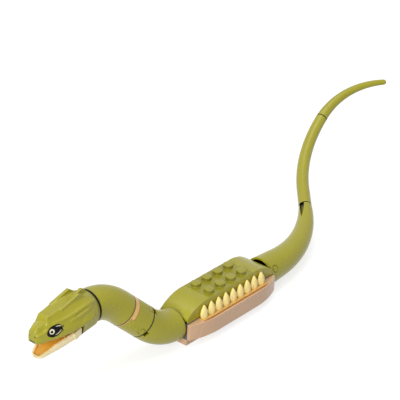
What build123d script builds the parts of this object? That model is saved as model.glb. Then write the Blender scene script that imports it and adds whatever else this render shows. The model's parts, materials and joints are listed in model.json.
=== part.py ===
"""Toy snake put together from studded bricks, bent tubes and pins.

Frame: millimetres, +X towards the head, +Y to the snake's left, +Z up. The origin is on
the underside of the belly plate, below the middle of the body.
"""
from build123d import *
import os
from math import atan2, cos, degrees, radians, sin, tan

os.makedirs("parts", exist_ok=True)

# ---- Brick system ------------------------------------------------------------------
pitch = 8.0              # from one stud to the next
brick_height = 9.6
plate_height = 3.2
stud_radius = 2.4
stud_height = 1.7
stud_fit = 0.1           # between a stud and the pocket that takes it
hidden_stud_radius = 2.2 # of a stud that the piece above it covers for good
soft_edge = 0.25         # rounding on the moulded outer edges
pocket_depth = stud_height + stud_fit
pocket_margin = pitch / 2 - stud_radius - stud_fit

# ---- Body --------------------------------------------------------------------------
body_columns = 8         # studs along the body
body_length = body_columns * pitch
body_width = 2 * pitch
brick_length = 2 * pitch
bore_rise = 5.8          # pin bore above the underside of its brick
side_stud_level = 7.4    # side studs above the ground
top_level = plate_height + brick_height
back_columns = 4         # studs along the flat of the back
back_length = back_columns * pitch
slope_lip = 1.4          # height of a slope at its low end
slope_flat = 2.0         # level run before a slope starts to fall
belly_skin = 1.2         # thickness of the belly plate over its hollow
tube_radius = 3.25       # tubes under the belly plate

# ---- Teeth and hull panels along the body ------------------------------------------
teeth_per_plate = 3
tooth_plates_per_side = 3
tooth_plate_thick = 3.2
tooth_root = 0.8         # how far a tooth starts below the top edge of its plate
tooth_rise = 6.4         # how far a tooth stands above that edge
tooth_width = 4.5
tooth_thick = 1.8
tooth_root_offset = 1.7  # middle of a tooth's root, out from the brick's side
tooth_lean = 0.7         # how far the point leans in from there
hull_bulge = 2.2         # thickness of a hull panel outside the tooth plates
hull_end_thick = 1.7     # thickness of a hull panel at its two ends
hull_flat = 14.0         # half length of its straight middle
hull_fit = 0.1           # between the panel's step and the row of tooth plates

# ---- Pins --------------------------------------------------------------------------
pin_radius = 2.4
pin_bore = 1.5
pin_reach = 7.8          # from the seam to either end
pin_chamfer = 0.2
collar_radius = 3.1
collar_half = 0.8
slim_pin_radius = 1.6
slim_pin_reach = 7.0
fine_pin_radius = 1.3
fine_pin_reach = 6.0
slim_collar_growth = 0.5
slim_collar_half = 0.5
running_fit = 0.05       # radial clearance of a pin in its bore
end_fit = 0.2            # a bore is this much deeper than its pin
seam_gap = 0.3           # between the faces that turn past each other

# ---- Neck --------------------------------------------------------------------------
neck_radius = 8.0
neck_wall = 1.6
neck_bend = 24.0         # radius of the bend along the tube's middle
neck_turn = 45.0
neck_stub = 3.1          # straight length at the middle of the neck
rim_recess = 2.2         # hollow ring in the end face of a tube
web = 2.0                # wall across a tube behind that hollow
hub_radius = 4.6
rim_chamfer = 0.4
slot_width = 2.4
slot_length = 1.1
rim_slots = (45, 135, 225, 315)  # in degrees round the rear tube's end
round_radius = 8.0       # round brick and ring
ring_notches = ((26.0, 64.0), (250.0, 22.0))  # middle and width, in degrees round the ring
ring_notch_depth = 0.8
ring_notch_rise = 2.4
tab_fit = 0.05           # between a notch and the round brick's tab in it
window_width = 2.6
window_height = 2.0
window_depth = 0.3
window_rise = 2.0
neck_rest = 21.7         # swivel of each joint in the rest pose, in degrees
neck_middle_rest = 180.0

# ---- Tail --------------------------------------------------------------------------
tail_straight = 13.5
tail_base_bend = 67.5
tail_base_turn = 44.5
tail_middle_straight = 13.0
tail_middle_bend = 91.0
tail_middle_turn = 33.5
tail_tip_bend = 54.0
tail_tip_turn = 51.0
tail_root_radius = 8.0
tail_waist_radius = 3.4
tail_thin_radius = 3.0
tail_end_radius = 1.45
tail_wall = 1.6
tail_base_ease = 1.15    # above 1 the tail keeps its girth for longer behind the body
tail_hollow = 10.0       # open depth at the tail's root
tail_hollow_taper = 4.0  # in degrees
tail_hub_radius = 4.2
tail_slit_length = 9.0
tail_slit_width = 2.2
tail_tip_rounding = 1.15
tail_stations = 7        # sections along each lofted tail piece
tail_rest = -69.6
tail_middle_rest = 137.5
tail_tip_rest = 43.7

# ---- Head --------------------------------------------------------------------------
# Each section is: distance ahead of the seam, then height and half width of the crest,
# the brow, the cheek and the lip. The lip's height comes from the slope of the mouth.
skull_sections = (
    (1.5, (8.5, 2.8), (6.0, 6.1), (0.0, 8.5), 8.2),
    (5.0, (9.2, 3.0), (6.9, 6.8), (0.0, 9.2), 9.0),
    (9.0, (9.9, 3.1), (6.7, 7.0), (0.0, 9.6), 9.4),
    (15.0, (9.8, 3.0), (5.8, 6.8), (0.2, 9.2), 8.8),
    (21.0, (8.9, 2.8), (4.8, 5.9), (0.4, 7.9), 7.4),
    (25.8, (8.1, 2.5), (4.5, 4.9), (0.4, 6.3), 5.9),
    (28.6, (7.3, 2.3), (4.1, 3.9), (0.2, 5.2), 4.9),
    (29.8, (5.6, 2.0), (3.6, 3.5), (0.1, 4.7), 4.4),
    (31.4, (4.4, 1.7), (2.9, 2.9), (0.0, 4.0), 3.7),
    (34.4, (2.4, 1.0), (1.4, 1.8), (-0.2, 2.5), 2.3),
)
throat_sections = (      # distance, then the lip's half width, the side and the underside
    (1.5, 8.2, (-5.0, 7.6), (-8.5, 3.2)),
    (12.4, 9.0, (-6.0, 8.1), (-8.6, 4.4)),
)
fin_offset = 3.0         # crest fins to either side of the middle
fin_thick = 1.6
fin_root = 8.3
fin_line = ((14.8, 10.0), (9.5, 12.0), (5.6, 9.2))   # distance ahead and height
nape_line = ((9.0, 9.6), (4.7, 11.4), (1.7, 9.0))    # the spine between the fins
collar_length = 2.4
collar_growth = 0.2      # the head's collar stands out from the neck by this much
skull_wall = 1.4
brain_start = 15.0       # hollow above the palate
brain_end = 32.0
mouth_corner = 11.0      # where the mouth's roof starts, ahead of the seam
mouth_corner_drop = 0.9
mouth_rise = -3.0        # slope of the mouth's roof towards the snout, in degrees
cheek_hollow_start = 8.3
cheek_hollow_end = 14.5
cheek_hollow_drop = 0.6  # top of the hollow below the neck's axis
cheek_inner = 6.6        # half width of that hollow
palate_start = 17.2      # ahead of the seam, clear of the jaw's arms
palate_thick = 1.2
palate_inset = 1.6
upper_teeth = 6          # on each side of the palate
fang_length = 1.9
small_tooth_length = 1.3
upper_tooth_radius = 0.65
upper_tooth_inset = 1.0  # teeth in from the palate's edge
tooth_point = 0.2        # a tooth's radius at its point, as a share of its root
jaw_hinge_ahead = 11.2
jaw_hinge_drop = 3.0
jaw_rim_rise = 1.9       # the jaw's rim above its hinge
jaw_open = 16.3          # below its closed place, in the rest pose
jaw_stop = 5.0           # a bite stops this short of closed, on the lips
jaw_depth = 4.2
jaw_tip_depth = 3.6
jaw_wall = 1.2
jaw_floor = 1.0
jaw_side_gap = 0.25      # between the jaw's arms and the cheeks
jaw_arm_radius = 2.2
jaw_back = 0.2           # floor behind the hinge
jaw_lip_inset = 0.2
lower_teeth = 7          # on each side of the jaw
jaw_tooth_height = 0.6
jaw_tooth_radius = 0.45
trunnion_radius = 1.4
trunnion_reach = 1.2


def save(piece, label):
    """Label a finished piece and write its STEP file."""
    piece.part.label = label
    export_step(piece.part, f"parts/{label}.step")


# ---- Places along the neck and the tail --------------------------------------------
# A seam is a plane: its z runs along the tube and its x points the way the tube bends.

def ahead(seam, distance):
    """The seam moved along the tube."""
    return seam.offset(distance)


def swivelled(seam, angle):
    """The seam turned about the tube's own axis."""
    turn = radians(angle)
    return Plane(seam.origin, x_dir=seam.x_dir * cos(turn) + seam.y_dir * sin(turn), z_dir=seam.z_dir)


def bend_end(seam, radius, angle):
    """The far end of a bend that starts at the seam."""
    turn = radians(angle)
    inward = seam.x_dir * cos(turn) - seam.z_dir * sin(turn)
    onward = seam.z_dir * cos(turn) + seam.x_dir * sin(turn)
    centre = seam.origin + seam.x_dir * radius
    return Plane(centre - inward * radius, x_dir=inward, z_dir=onward)


def bend_axis(seam, radius):
    """The line that a bend turns about."""
    return Axis(seam.origin + seam.x_dir * radius, seam.y_dir)


pin_level = plate_height + bore_rise
body_front = Plane((body_length / 2, 0, pin_level), x_dir=(0, 0, 1), z_dir=(1, 0, 0))
body_rear = Plane((-body_length / 2, 0, pin_level), x_dir=(0, 0, 1), z_dir=(-1, 0, 0))

rear_elbow_start = swivelled(ahead(body_front, seam_gap), neck_rest)
rear_elbow_bent = bend_end(rear_elbow_start, neck_bend, neck_turn)
rear_elbow_end = ahead(rear_elbow_bent, neck_stub)
round_start = swivelled(ahead(rear_elbow_end, seam_gap), neck_middle_rest)
round_end = ahead(round_start, brick_height)
ring_end = ahead(round_end, plate_height)
front_elbow_bend = ahead(ring_end, neck_stub)
front_elbow_end = bend_end(front_elbow_bend, neck_bend, neck_turn)
head_origin = ahead(front_elbow_end, seam_gap)
head_up = Vector(0, 0, 1) - head_origin.z_dir * head_origin.z_dir.Z
head_plane = Plane(head_origin.origin, x_dir=head_up.normalized(), z_dir=head_origin.z_dir)

tail_start = swivelled(ahead(body_rear, seam_gap), tail_rest)
tail_bend = ahead(tail_start, tail_straight)
tail_base_end = bend_end(tail_bend, tail_base_bend, tail_base_turn)
tail_middle_start = swivelled(ahead(tail_base_end, seam_gap), tail_middle_rest)
tail_middle_curve = ahead(tail_middle_start, tail_middle_straight)
tail_middle_end = bend_end(tail_middle_curve, tail_middle_bend, tail_middle_turn)
tail_tip_start = swivelled(ahead(tail_middle_end, seam_gap), tail_tip_rest)


# ---- Pins --------------------------------------------------------------------------
def pin(seam, radius, reach, collar, half, bore=0.0):
    """Pin across a seam, with a collar that both sides take in."""
    with BuildPart() as piece:
        with BuildSketch(seam.offset(-reach)):
            Circle(radius)
        extrude(amount=2 * reach)
        chamfer(piece.edges(), length=pin_chamfer)
        with BuildSketch(seam.offset(-half)):
            Circle(collar)
        extrude(amount=2 * half)
        if bore:
            with BuildSketch(seam.offset(-reach)):
                Circle(bore)
            extrude(amount=2 * reach, mode=Mode.SUBTRACT)
    return piece


def bore_for_pin(seam, radius, reach, collar, half):
    """Cut a pin's bore and its collar's seat into the open part, along the seam's z."""
    with BuildSketch(seam) as bore:
        Circle(radius + running_fit)
    extrude(bore.sketch, amount=reach + end_fit, mode=Mode.SUBTRACT)
    with BuildSketch(seam) as seat:
        Circle(collar + running_fit)
    extrude(seat.sketch, amount=half + running_fit, mode=Mode.SUBTRACT)


def facing_back(seam):
    """The same seam, looking back along the tube."""
    return Plane(seam.origin, x_dir=seam.x_dir, z_dir=-seam.z_dir)


def midway(seam):
    """The middle of the gap that starts at the seam, where a pin's collar is centred."""
    return seam.offset(seam_gap / 2)


# ---- Body bricks -------------------------------------------------------------------
def studs(plane, columns, rows, radius=stud_radius):
    """Studs in a grid on a plane of the open part."""
    with BuildSketch(plane) as grid:
        with GridLocations(pitch, pitch, columns, rows):
            Circle(radius)
    extrude(grid.sketch, amount=stud_height)


def side_plane(side, middle, distance=0.0):
    """Plane on one side of the body, y up, looking outwards."""
    place = (middle, side * (body_width / 2 + distance), side_stud_level)
    return Plane(place, x_dir=(-side, 0, 0), z_dir=(0, side, 0))


def body_brick(middle, joint_end=None):
    """Brick of two by two studs with studs on its sides, and a pin bore in a joint brick's end."""
    with BuildPart() as brick:
        with BuildSketch(Plane((middle, 0, plate_height))):
            Rectangle(brick_length, body_width)
        extrude(amount=brick_height)
        with BuildSketch(Plane((middle, 0, plate_height))):
            Rectangle(brick_length - 2 * pocket_margin, body_width - 2 * pocket_margin)
        extrude(amount=pocket_depth, mode=Mode.SUBTRACT)
        studs(Plane((middle, 0, top_level)), 2, 2, hidden_stud_radius)
        for side in (-1, 1):
            studs(side_plane(side, middle), 2, 1)
        if joint_end:
            bore_for_pin(facing_back(joint_end), pin_radius, pin_reach, collar_radius, collar_half)
    return brick


front_joint_brick = body_brick((body_length - brick_length) / 2, body_front)
save(front_joint_brick, "front_joint_brick")
rear_joint_brick = body_brick((brick_length - body_length) / 2, body_rear)
save(rear_joint_brick, "rear_joint_brick")
front_core_brick = body_brick(brick_length / 2)
save(front_core_brick, "front_core_brick")
rear_core_brick = body_brick(-brick_length / 2)
save(rear_core_brick, "rear_core_brick")

with BuildPart() as belly_plate:
    with BuildSketch():
        Rectangle(body_length, body_width)
    extrude(amount=plate_height)
    fillet(belly_plate.edges().filter_by(Axis.Z), radius=soft_edge)
    with BuildSketch():
        Rectangle(body_length - 2 * pocket_margin, body_width - 2 * pocket_margin)
    extrude(amount=plate_height - belly_skin, mode=Mode.SUBTRACT)
    with BuildSketch():
        with GridLocations(pitch, pitch, body_columns - 1, 1):
            Circle(tube_radius)
            Circle(stud_radius + running_fit, mode=Mode.SUBTRACT)
    extrude(amount=plate_height - belly_skin)
    studs(Plane.XY.offset(plate_height), body_columns, 2, hidden_stud_radius)
save(belly_plate, "belly_plate")


def back_plate(level, label, top_stud_radius):
    """Plate of the back, hollow below so that it takes the studs under it."""
    with BuildPart() as plate:
        with BuildSketch(Plane.XY.offset(level)):
            Rectangle(back_length, body_width)
        extrude(amount=plate_height)
        with BuildSketch(Plane.XY.offset(level)):
            Rectangle(back_length - 2 * pocket_margin, body_width - 2 * pocket_margin)
        extrude(amount=pocket_depth, mode=Mode.SUBTRACT)
        studs(Plane.XY.offset(level + plate_height), back_columns, 2, top_stud_radius)
        fillet(plate.faces().sort_by(Axis.Z)[-1].edges(), radius=soft_edge)
    save(plate, label)


back_plate(top_level, "lower_back_plate", hidden_stud_radius)
back_plate(top_level + plate_height, "studded_back_plate", stud_radius)


def back_slope(end, label):
    """Curved slope from the flat of the back down to one end of the body."""
    inner = back_length / 2
    outer = body_length / 2
    crown = top_level + 2 * plate_height
    with BuildPart() as slope:
        with BuildSketch(Plane.XZ.offset(-body_width / 2)):
            with BuildLine():
                Polyline(
                    (end * (inner + slope_flat), crown),
                    (end * inner, crown),
                    (end * inner, top_level),
                    (end * outer, top_level),
                    (end * outer, top_level + slope_lip),
                )
                TangentArc(
                    (end * (inner + slope_flat), crown),
                    (end * outer, top_level + slope_lip),
                    tangent=(end, 0),
                )
            make_face()
        extrude(amount=body_width)
        fillet(slope.edges().filter_by(GeomType.CIRCLE), radius=soft_edge)
        with BuildSketch(Plane((end * (inner + outer) / 2, 0, top_level))):
            Rectangle(outer - inner - 2 * pocket_margin, body_width - 2 * pocket_margin)
        extrude(amount=pocket_depth, mode=Mode.SUBTRACT)
    save(slope, label)


back_slope(1, "front_slope")
back_slope(-1, "rear_slope")

# ---- Teeth and hull panels ---------------------------------------------------------
tooth_shape = (  # share of the height, of the width and of the thickness
    (0.0, 0.72, 0.9),
    (0.3, 1.0, 1.0),
    (0.6, 0.84, 0.9),
    (0.85, 0.45, 0.6),
    (1.0, 0.1, 0.2),
)


def tooth(side, middle):
    """One leaf-shaped tooth, added to the open part."""
    foot = side_stud_level + pitch / 2 - tooth_root
    slices = []
    for share, wide, thick in tooth_shape:
        out = body_width / 2 + tooth_root_offset - tooth_lean * share
        level = foot + (tooth_root + tooth_rise) * share
        with BuildSketch(Plane((middle, side * out, level))) as piece:
            Ellipse(tooth_width / 2 * wide, tooth_thick / 2 * thick)
        slices.append(piece.sketch)
    loft(slices)


def tooth_plate(side, middle, label):
    """Plate of two studs on the body's side, with its teeth along the upper edge."""
    with BuildPart() as plate:
        with BuildSketch(side_plane(side, middle)):
            Rectangle(brick_length, pitch)
        extrude(amount=tooth_plate_thick)
        with BuildSketch(side_plane(side, middle)):
            Rectangle(brick_length - 2 * pocket_margin, pitch - 2 * pocket_margin)
        extrude(amount=pocket_depth, mode=Mode.SUBTRACT)
        step = brick_length / teeth_per_plate
        for count in range(teeth_per_plate):
            tooth(side, middle + (count - (teeth_per_plate - 1) / 2) * step)
    save(plate, label)


for side, name in ((1, "left"), (-1, "right")):
    for count, place in enumerate(("rear", "middle", "front")):
        tooth_plate(side, (count - 1) * brick_length, f"tooth_plate_{name}_{place}")


def hull_panel(side, label):
    """Curved side panel that closes over the tooth plates and the ends of the body."""
    half = body_length / 2
    skin = body_width / 2
    step = tooth_plates_per_side * brick_length / 2 + hull_fit
    outer = skin + tooth_plate_thick + hull_bulge
    with BuildPart() as panel:
        with BuildSketch(Plane.XY.offset(side_stud_level - pitch / 2)):
            with BuildLine():
                Polyline(
                    (half, side * (skin + hull_end_thick)),
                    (half, side * skin),
                    (step, side * skin),
                    (step, side * (skin + tooth_plate_thick)),
                    (-step, side * (skin + tooth_plate_thick)),
                    (-step, side * skin),
                    (-half, side * skin),
                    (-half, side * (skin + hull_end_thick)),
                )
                Line((-hull_flat, side * outer), (hull_flat, side * outer))
                for end in (1, -1):
                    TangentArc(
                        (end * hull_flat, side * outer),
                        (end * half, side * (skin + hull_end_thick)),
                        tangent=(end, 0),
                    )
            make_face()
        extrude(amount=pitch)
        fillet(panel.edges().filter_by(GeomType.CIRCLE), radius=soft_edge)
        for end in (1, -1):
            with BuildSketch(side_plane(side, end * (half - pitch / 2))):
                Circle(stud_radius + stud_fit)
            extrude(amount=pocket_depth, mode=Mode.SUBTRACT)
    save(panel, label)


hull_panel(1, "hull_panel_left")
hull_panel(-1, "hull_panel_right")


# ---- Neck --------------------------------------------------------------------------
def open_end(seam):
    """Hollow ring in the end of a tube, around the hub that holds the pin."""
    with BuildSketch(seam) as ring:
        Circle(neck_radius - neck_wall)
        Circle(hub_radius, mode=Mode.SUBTRACT)
    extrude(ring.sketch, amount=rim_recess, mode=Mode.SUBTRACT)


def hub(seam):
    """Boss that carries a pin inside the tube."""
    with BuildSketch(seam) as boss:
        Circle(hub_radius)
    extrude(boss.sketch, amount=pin_reach + web)


def elbow(start, first_stub, last_stub, slots=()):
    """Hollow tube bent through a fixed angle, with a bored hub in each end."""
    bend = ahead(start, first_stub)
    bent = bend_end(bend, neck_bend, neck_turn)
    end = ahead(bent, last_stub)
    lead = degrees((rim_recess + web) / neck_bend)
    inner = bend_end(bend, neck_bend, lead)
    with BuildPart() as tube:
        with BuildSketch(bend):
            Circle(neck_radius)
        revolve(axis=bend_axis(bend, neck_bend), revolution_arc=neck_turn)
        for seam, stub in ((facing_back(bend), first_stub), (bent, last_stub)):
            if stub:
                with BuildSketch(seam):
                    Circle(neck_radius)
                extrude(amount=stub)
        for seam in (start, end):
            rings = tube.edges().filter_by(GeomType.CIRCLE)
            rim = rings.sort_by(lambda edge: (edge.arc_center - seam.origin).length)[0]
            chamfer(rim, length=rim_chamfer)
        with BuildSketch(inner):
            Circle(neck_radius - neck_wall)
        revolve(
            axis=bend_axis(inner, neck_bend),
            revolution_arc=neck_turn - 2 * lead,
            mode=Mode.SUBTRACT,
        )
        hub(start)
        hub(facing_back(end))
        open_end(start)
        open_end(facing_back(end))
        bore_for_pin(start, pin_radius, pin_reach, collar_radius, collar_half)
        bore_for_pin(facing_back(end), pin_radius, pin_reach, collar_radius, collar_half)
        for angle in slots:
            rim_slot(end, angle)
    return tube


def rim_slot(seam, angle):
    """Small slot through the rim of a tube, at an angle round the seam's own axis."""
    across = swivelled(seam, angle)
    place = Plane(seam.origin + across.x_dir * neck_radius, x_dir=across.y_dir, z_dir=-across.x_dir)
    with BuildSketch(place) as slot:
        Rectangle(slot_width, 2 * slot_length)
    extrude(slot.sketch, amount=neck_wall, both=True, mode=Mode.SUBTRACT)


rear_elbow = elbow(rear_elbow_start, 0.0, neck_stub, slots=rim_slots)
save(rear_elbow, "neck_elbow_rear")
front_elbow = elbow(ring_end, neck_stub, 0.0)
save(front_elbow, "neck_elbow_front")

def ring_sector(middle, width, outer, inner):
    """Outline of a piece of a ring, in its sketch's own coordinates."""
    turns = [radians(middle + share * width) for share in (-0.5, 0, 0.5)]
    outside, inside = ([(reach * cos(turn), reach * sin(turn)) for turn in turns] for reach in (outer, inner))
    with BuildLine() as outline:
        ThreePointArc(*outside)
        ThreePointArc(*inside)
        Line(outside[0], inside[0])
        Line(outside[2], inside[2])
    return make_face(outline.edges())


with BuildPart() as round_brick:
    with BuildSketch(round_start):
        Circle(round_radius)
    extrude(amount=brick_height)
    chamfer(round_brick.edges().filter_by(GeomType.CIRCLE), length=soft_edge)
    for quarter in range(4):
        across = swivelled(round_start, 45 + 90 * quarter)
        centre = across.origin + across.x_dir * round_radius + across.z_dir * window_rise
        with BuildSketch(Plane(centre, x_dir=across.y_dir, z_dir=-across.x_dir)):
            Rectangle(window_width, window_height)
        extrude(amount=2 * window_depth, both=True, mode=Mode.SUBTRACT)
    bore_for_pin(round_start, pin_radius, brick_height, collar_radius, collar_half)
    for middle, width in ring_notches:
        slack = degrees(tab_fit / round_radius)
        with BuildSketch(round_end):
            add(ring_sector(middle, width - 2 * slack, round_radius - soft_edge, round_radius - ring_notch_depth + tab_fit))
        extrude(amount=ring_notch_rise - tab_fit)
save(round_brick, "neck_round_brick")

with BuildPart() as neck_ring:
    with BuildSketch(round_end):
        Circle(round_radius)
        Circle(pin_radius + running_fit, mode=Mode.SUBTRACT)
    extrude(amount=plate_height)
    for middle, width in ring_notches:
        with BuildSketch(round_end):
            add(ring_sector(middle, width, round_radius + pin_radius, round_radius - ring_notch_depth))
        extrude(amount=ring_notch_rise, mode=Mode.SUBTRACT)
save(neck_ring, "neck_ring")

with BuildPart() as neck_axle:
    axle_start = rear_elbow_end.offset(-pin_reach)
    axle_length = 2 * pin_reach + seam_gap + brick_height + plate_height
    with BuildSketch(axle_start):
        Circle(pin_radius)
    extrude(amount=axle_length)
    chamfer(neck_axle.edges(), length=pin_chamfer)
    with BuildSketch(midway(rear_elbow_end).offset(-collar_half)):
        Circle(collar_radius)
    extrude(amount=2 * collar_half)
save(neck_axle, "neck_axle")

neck_pin = pin(midway(body_front), pin_radius, pin_reach, collar_radius, collar_half, pin_bore)
save(neck_pin, "neck_pin")
head_pin = pin(midway(front_elbow_end), pin_radius, pin_reach, collar_radius, collar_half, pin_bore)
save(head_pin, "head_pin")


# ---- Tail --------------------------------------------------------------------------
def tail_sections(start, straight, bend, turn, first, last, ease=1.0):
    """Round sections along a straight run and a bend, as the shape thins."""
    total = straight + bend * radians(turn)
    slices = []
    for count in range(tail_stations):
        share = count / (tail_stations - 1)
        run = share * total
        if run <= straight:
            plane = ahead(start, run)
        else:
            plane = bend_end(ahead(start, straight), bend, degrees((run - straight) / bend))
        with BuildSketch(plane) as piece:
            Circle(first + (last - first) * share**ease)
        slices.append(piece.sketch)
    loft(slices)


slim_collar = slim_pin_radius + slim_collar_growth
fine_collar = fine_pin_radius + slim_collar_growth

with BuildPart() as tail_base:
    tail_sections(
        tail_start, tail_straight, tail_base_bend, tail_base_turn,
        tail_root_radius, tail_waist_radius, tail_base_ease,
    )
    with BuildSketch(tail_start):
        Circle(tail_root_radius - tail_wall)
        Circle(tail_hub_radius, mode=Mode.SUBTRACT)
    extrude(amount=tail_hollow, taper=tail_hollow_taper, mode=Mode.SUBTRACT)
    bore_for_pin(tail_start, pin_radius, pin_reach, collar_radius, collar_half)
    bore_for_pin(
        facing_back(tail_base_end), slim_pin_radius, slim_pin_reach, slim_collar, slim_collar_half
    )
    slit_back = facing_back(tail_base_end)
    slit_plane = Plane(slit_back.origin, x_dir=slit_back.z_dir, z_dir=slit_back.x_dir)
    with BuildSketch(slit_plane):
        with Locations((tail_slit_length / 2, 0)):
            Rectangle(tail_slit_length, tail_slit_width)
    extrude(amount=tail_root_radius, mode=Mode.SUBTRACT)
save(tail_base, "tail_base")

with BuildPart() as tail_middle:
    tail_sections(
        tail_middle_start, tail_middle_straight, tail_middle_bend, tail_middle_turn,
        tail_waist_radius, tail_thin_radius,
    )
    bore_for_pin(
        tail_middle_start, slim_pin_radius, slim_pin_reach, slim_collar, slim_collar_half
    )
    bore_for_pin(
        facing_back(tail_middle_end), fine_pin_radius, fine_pin_reach, fine_collar, slim_collar_half
    )
save(tail_middle, "tail_middle")

with BuildPart() as tail_tip:
    tail_sections(
        tail_tip_start, 0.0, tail_tip_bend, tail_tip_turn, tail_thin_radius, tail_end_radius
    )
    tip_end = bend_end(tail_tip_start, tail_tip_bend, tail_tip_turn)
    rim = tail_tip.edges().sort_by(lambda edge: (edge.center() - tip_end.origin).length)[0]
    fillet(rim, radius=tail_tip_rounding)
    bore_for_pin(tail_tip_start, fine_pin_radius, fine_pin_reach, fine_collar, slim_collar_half)
save(tail_tip, "tail_tip")

tail_pin = pin(midway(body_rear), pin_radius, pin_reach, collar_radius, collar_half, pin_bore)
save(tail_pin, "tail_pin")
tail_middle_pin = pin(
    midway(tail_base_end), slim_pin_radius, slim_pin_reach, slim_collar, slim_collar_half
)
save(tail_middle_pin, "tail_middle_pin")
tail_tip_pin = pin(
    midway(tail_middle_end), fine_pin_radius, fine_pin_reach, fine_collar, slim_collar_half
)
save(tail_tip_pin, "tail_tip_pin")


# ---- Head --------------------------------------------------------------------------
# In the head's plane x is up and y is to the snake's right.
def head_section(distance, points):
    """Symmetrical outline across the head, from the heights and half widths of its right side."""
    mirrored = [(height, -half) for height, half in reversed(points)]
    with BuildSketch(head_plane.offset(distance)) as outline:
        Polygon(*points, *mirrored, align=None)
    return outline.sketch


def roof_height(distance):
    """Height of the mouth's roof above the neck's axis."""
    return tan(radians(mouth_rise)) * (distance - mouth_corner) - mouth_corner_drop


def tilted(plane, angle):
    """A plane across the head, tipped so that its z rises by an angle."""
    turn = radians(angle)
    onward = plane.z_dir * cos(turn) + plane.x_dir * sin(turn)
    upward = plane.x_dir * cos(turn) - plane.z_dir * sin(turn)
    return Plane(plane.origin, x_dir=upward, z_dir=onward)


def head_point(distance, height):
    """A point in the head's middle plane."""
    return head_plane.origin + head_plane.z_dir * distance + head_plane.x_dir * height


hinge_point = head_point(jaw_hinge_ahead, -jaw_hinge_drop)
hinge_plane = Plane(hinge_point, x_dir=head_plane.z_dir, z_dir=head_plane.y_dir)
roof_frame = tilted(head_plane, mouth_rise)
roof_point = head_point(jaw_hinge_ahead, roof_height(jaw_hinge_ahead))
# x runs forward along the roof of the mouth, y to the snake's left
roof_plane = Plane(roof_point, x_dir=roof_frame.z_dir, z_dir=roof_frame.x_dir)

with BuildPart() as head_shell:
    with BuildSketch(head_plane):
        Circle(neck_radius + collar_growth)
    extrude(amount=collar_length)
    chamfer(head_shell.edges().filter_by(GeomType.CIRCLE), length=rim_chamfer)
    loft(
        [
            head_section(distance, [crest, brow, cheek, (roof_height(distance), lip)])
            for distance, crest, brow, cheek, lip in skull_sections
        ],
        ruled=True,
    )
    loft(
        [
            head_section(distance, [(roof_height(distance), lip), side, under])
            for distance, lip, side, under in throat_sections
        ],
        ruled=True,
    )
    for offset, ridge in ((fin_offset, fin_line), (0.0, nape_line), (-fin_offset, fin_line)):
        with BuildSketch(hinge_plane.offset(offset)):
            outline = [(ridge[0][0], fin_root), *ridge, (ridge[-1][0], fin_root)]
            Polygon(
                *[(distance - jaw_hinge_ahead, height + jaw_hinge_drop) for distance, height in outline],
                align=None,
            )
        extrude(amount=fin_thick / 2, both=True)
    with BuildSketch(hinge_plane):
        with BuildLine():
            Polyline(
                (cheek_hollow_start - jaw_hinge_ahead, jaw_hinge_drop - cheek_hollow_drop),
                (cheek_hollow_end - jaw_hinge_ahead, jaw_hinge_drop - cheek_hollow_drop),
                (cheek_hollow_end - jaw_hinge_ahead, -2 * neck_radius),
                (cheek_hollow_start - jaw_hinge_ahead, -2 * neck_radius),
                close=True,
            )
        make_face()
    extrude(amount=cheek_inner, both=True, mode=Mode.SUBTRACT)
    with BuildSketch(hinge_plane):
        Circle(trunnion_radius + running_fit)
    extrude(amount=cheek_inner + trunnion_reach + end_fit, both=True, mode=Mode.SUBTRACT)
    bore_for_pin(head_plane, pin_radius, cheek_hollow_start, collar_radius, collar_half)
    brain_span = [row for row in skull_sections if brain_start <= row[0] <= brain_end]
    loft(
        [
            head_section(
                distance,
                [
                    (crest[0] - 2 * skull_wall, crest[1] - skull_wall / 2),
                    (brow[0] - skull_wall, brow[1] - skull_wall),
                    (roof_height(distance), lip - 2 * skull_wall),
                ],
            )
            for distance, crest, brow, cheek, lip in brain_span
        ],
        ruled=True,
        mode=Mode.SUBTRACT,
    )
save(head_shell, "head_shell")


def along_lip(inset):
    """Half outlines of the upper lip, in steps ahead of the hinge, moved in by an inset."""
    rows = [row for row in skull_sections if row[0] > cheek_hollow_end]
    return [(distance - jaw_hinge_ahead, lip - inset) for distance, *_, lip in rows]


def starting_at(reach, rows):
    """Half outline that starts further ahead, between its first two rows."""
    (near, near_half), (far, far_half) = rows[:2]
    share = (reach - near) / (far - near)
    return [(reach, near_half + (far_half - near_half) * share), *rows[1:]]


def tooth_cone(plane, radius, height):
    """Pointed tooth standing on a plane, added to the open part."""
    with BuildSketch(plane) as foot:
        Circle(radius)
    with BuildSketch(plane.offset(height)) as point:
        Circle(radius * tooth_point)
    loft([foot.sketch, point.sketch])


def tooth_stations(rows, count):
    """Evenly spread places along a half outline."""
    first, last = rows[0], rows[-1]
    places = []
    for number in range(count):
        reach = first[0] + (last[0] - first[0]) * (number + 0.5) / count
        for near, far in zip(rows, rows[1:]):
            if near[0] <= reach <= far[0]:
                share = (reach - near[0]) / (far[0] - near[0])
                places.append((reach, near[1] + (far[1] - near[1]) * share))
    return places


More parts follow.
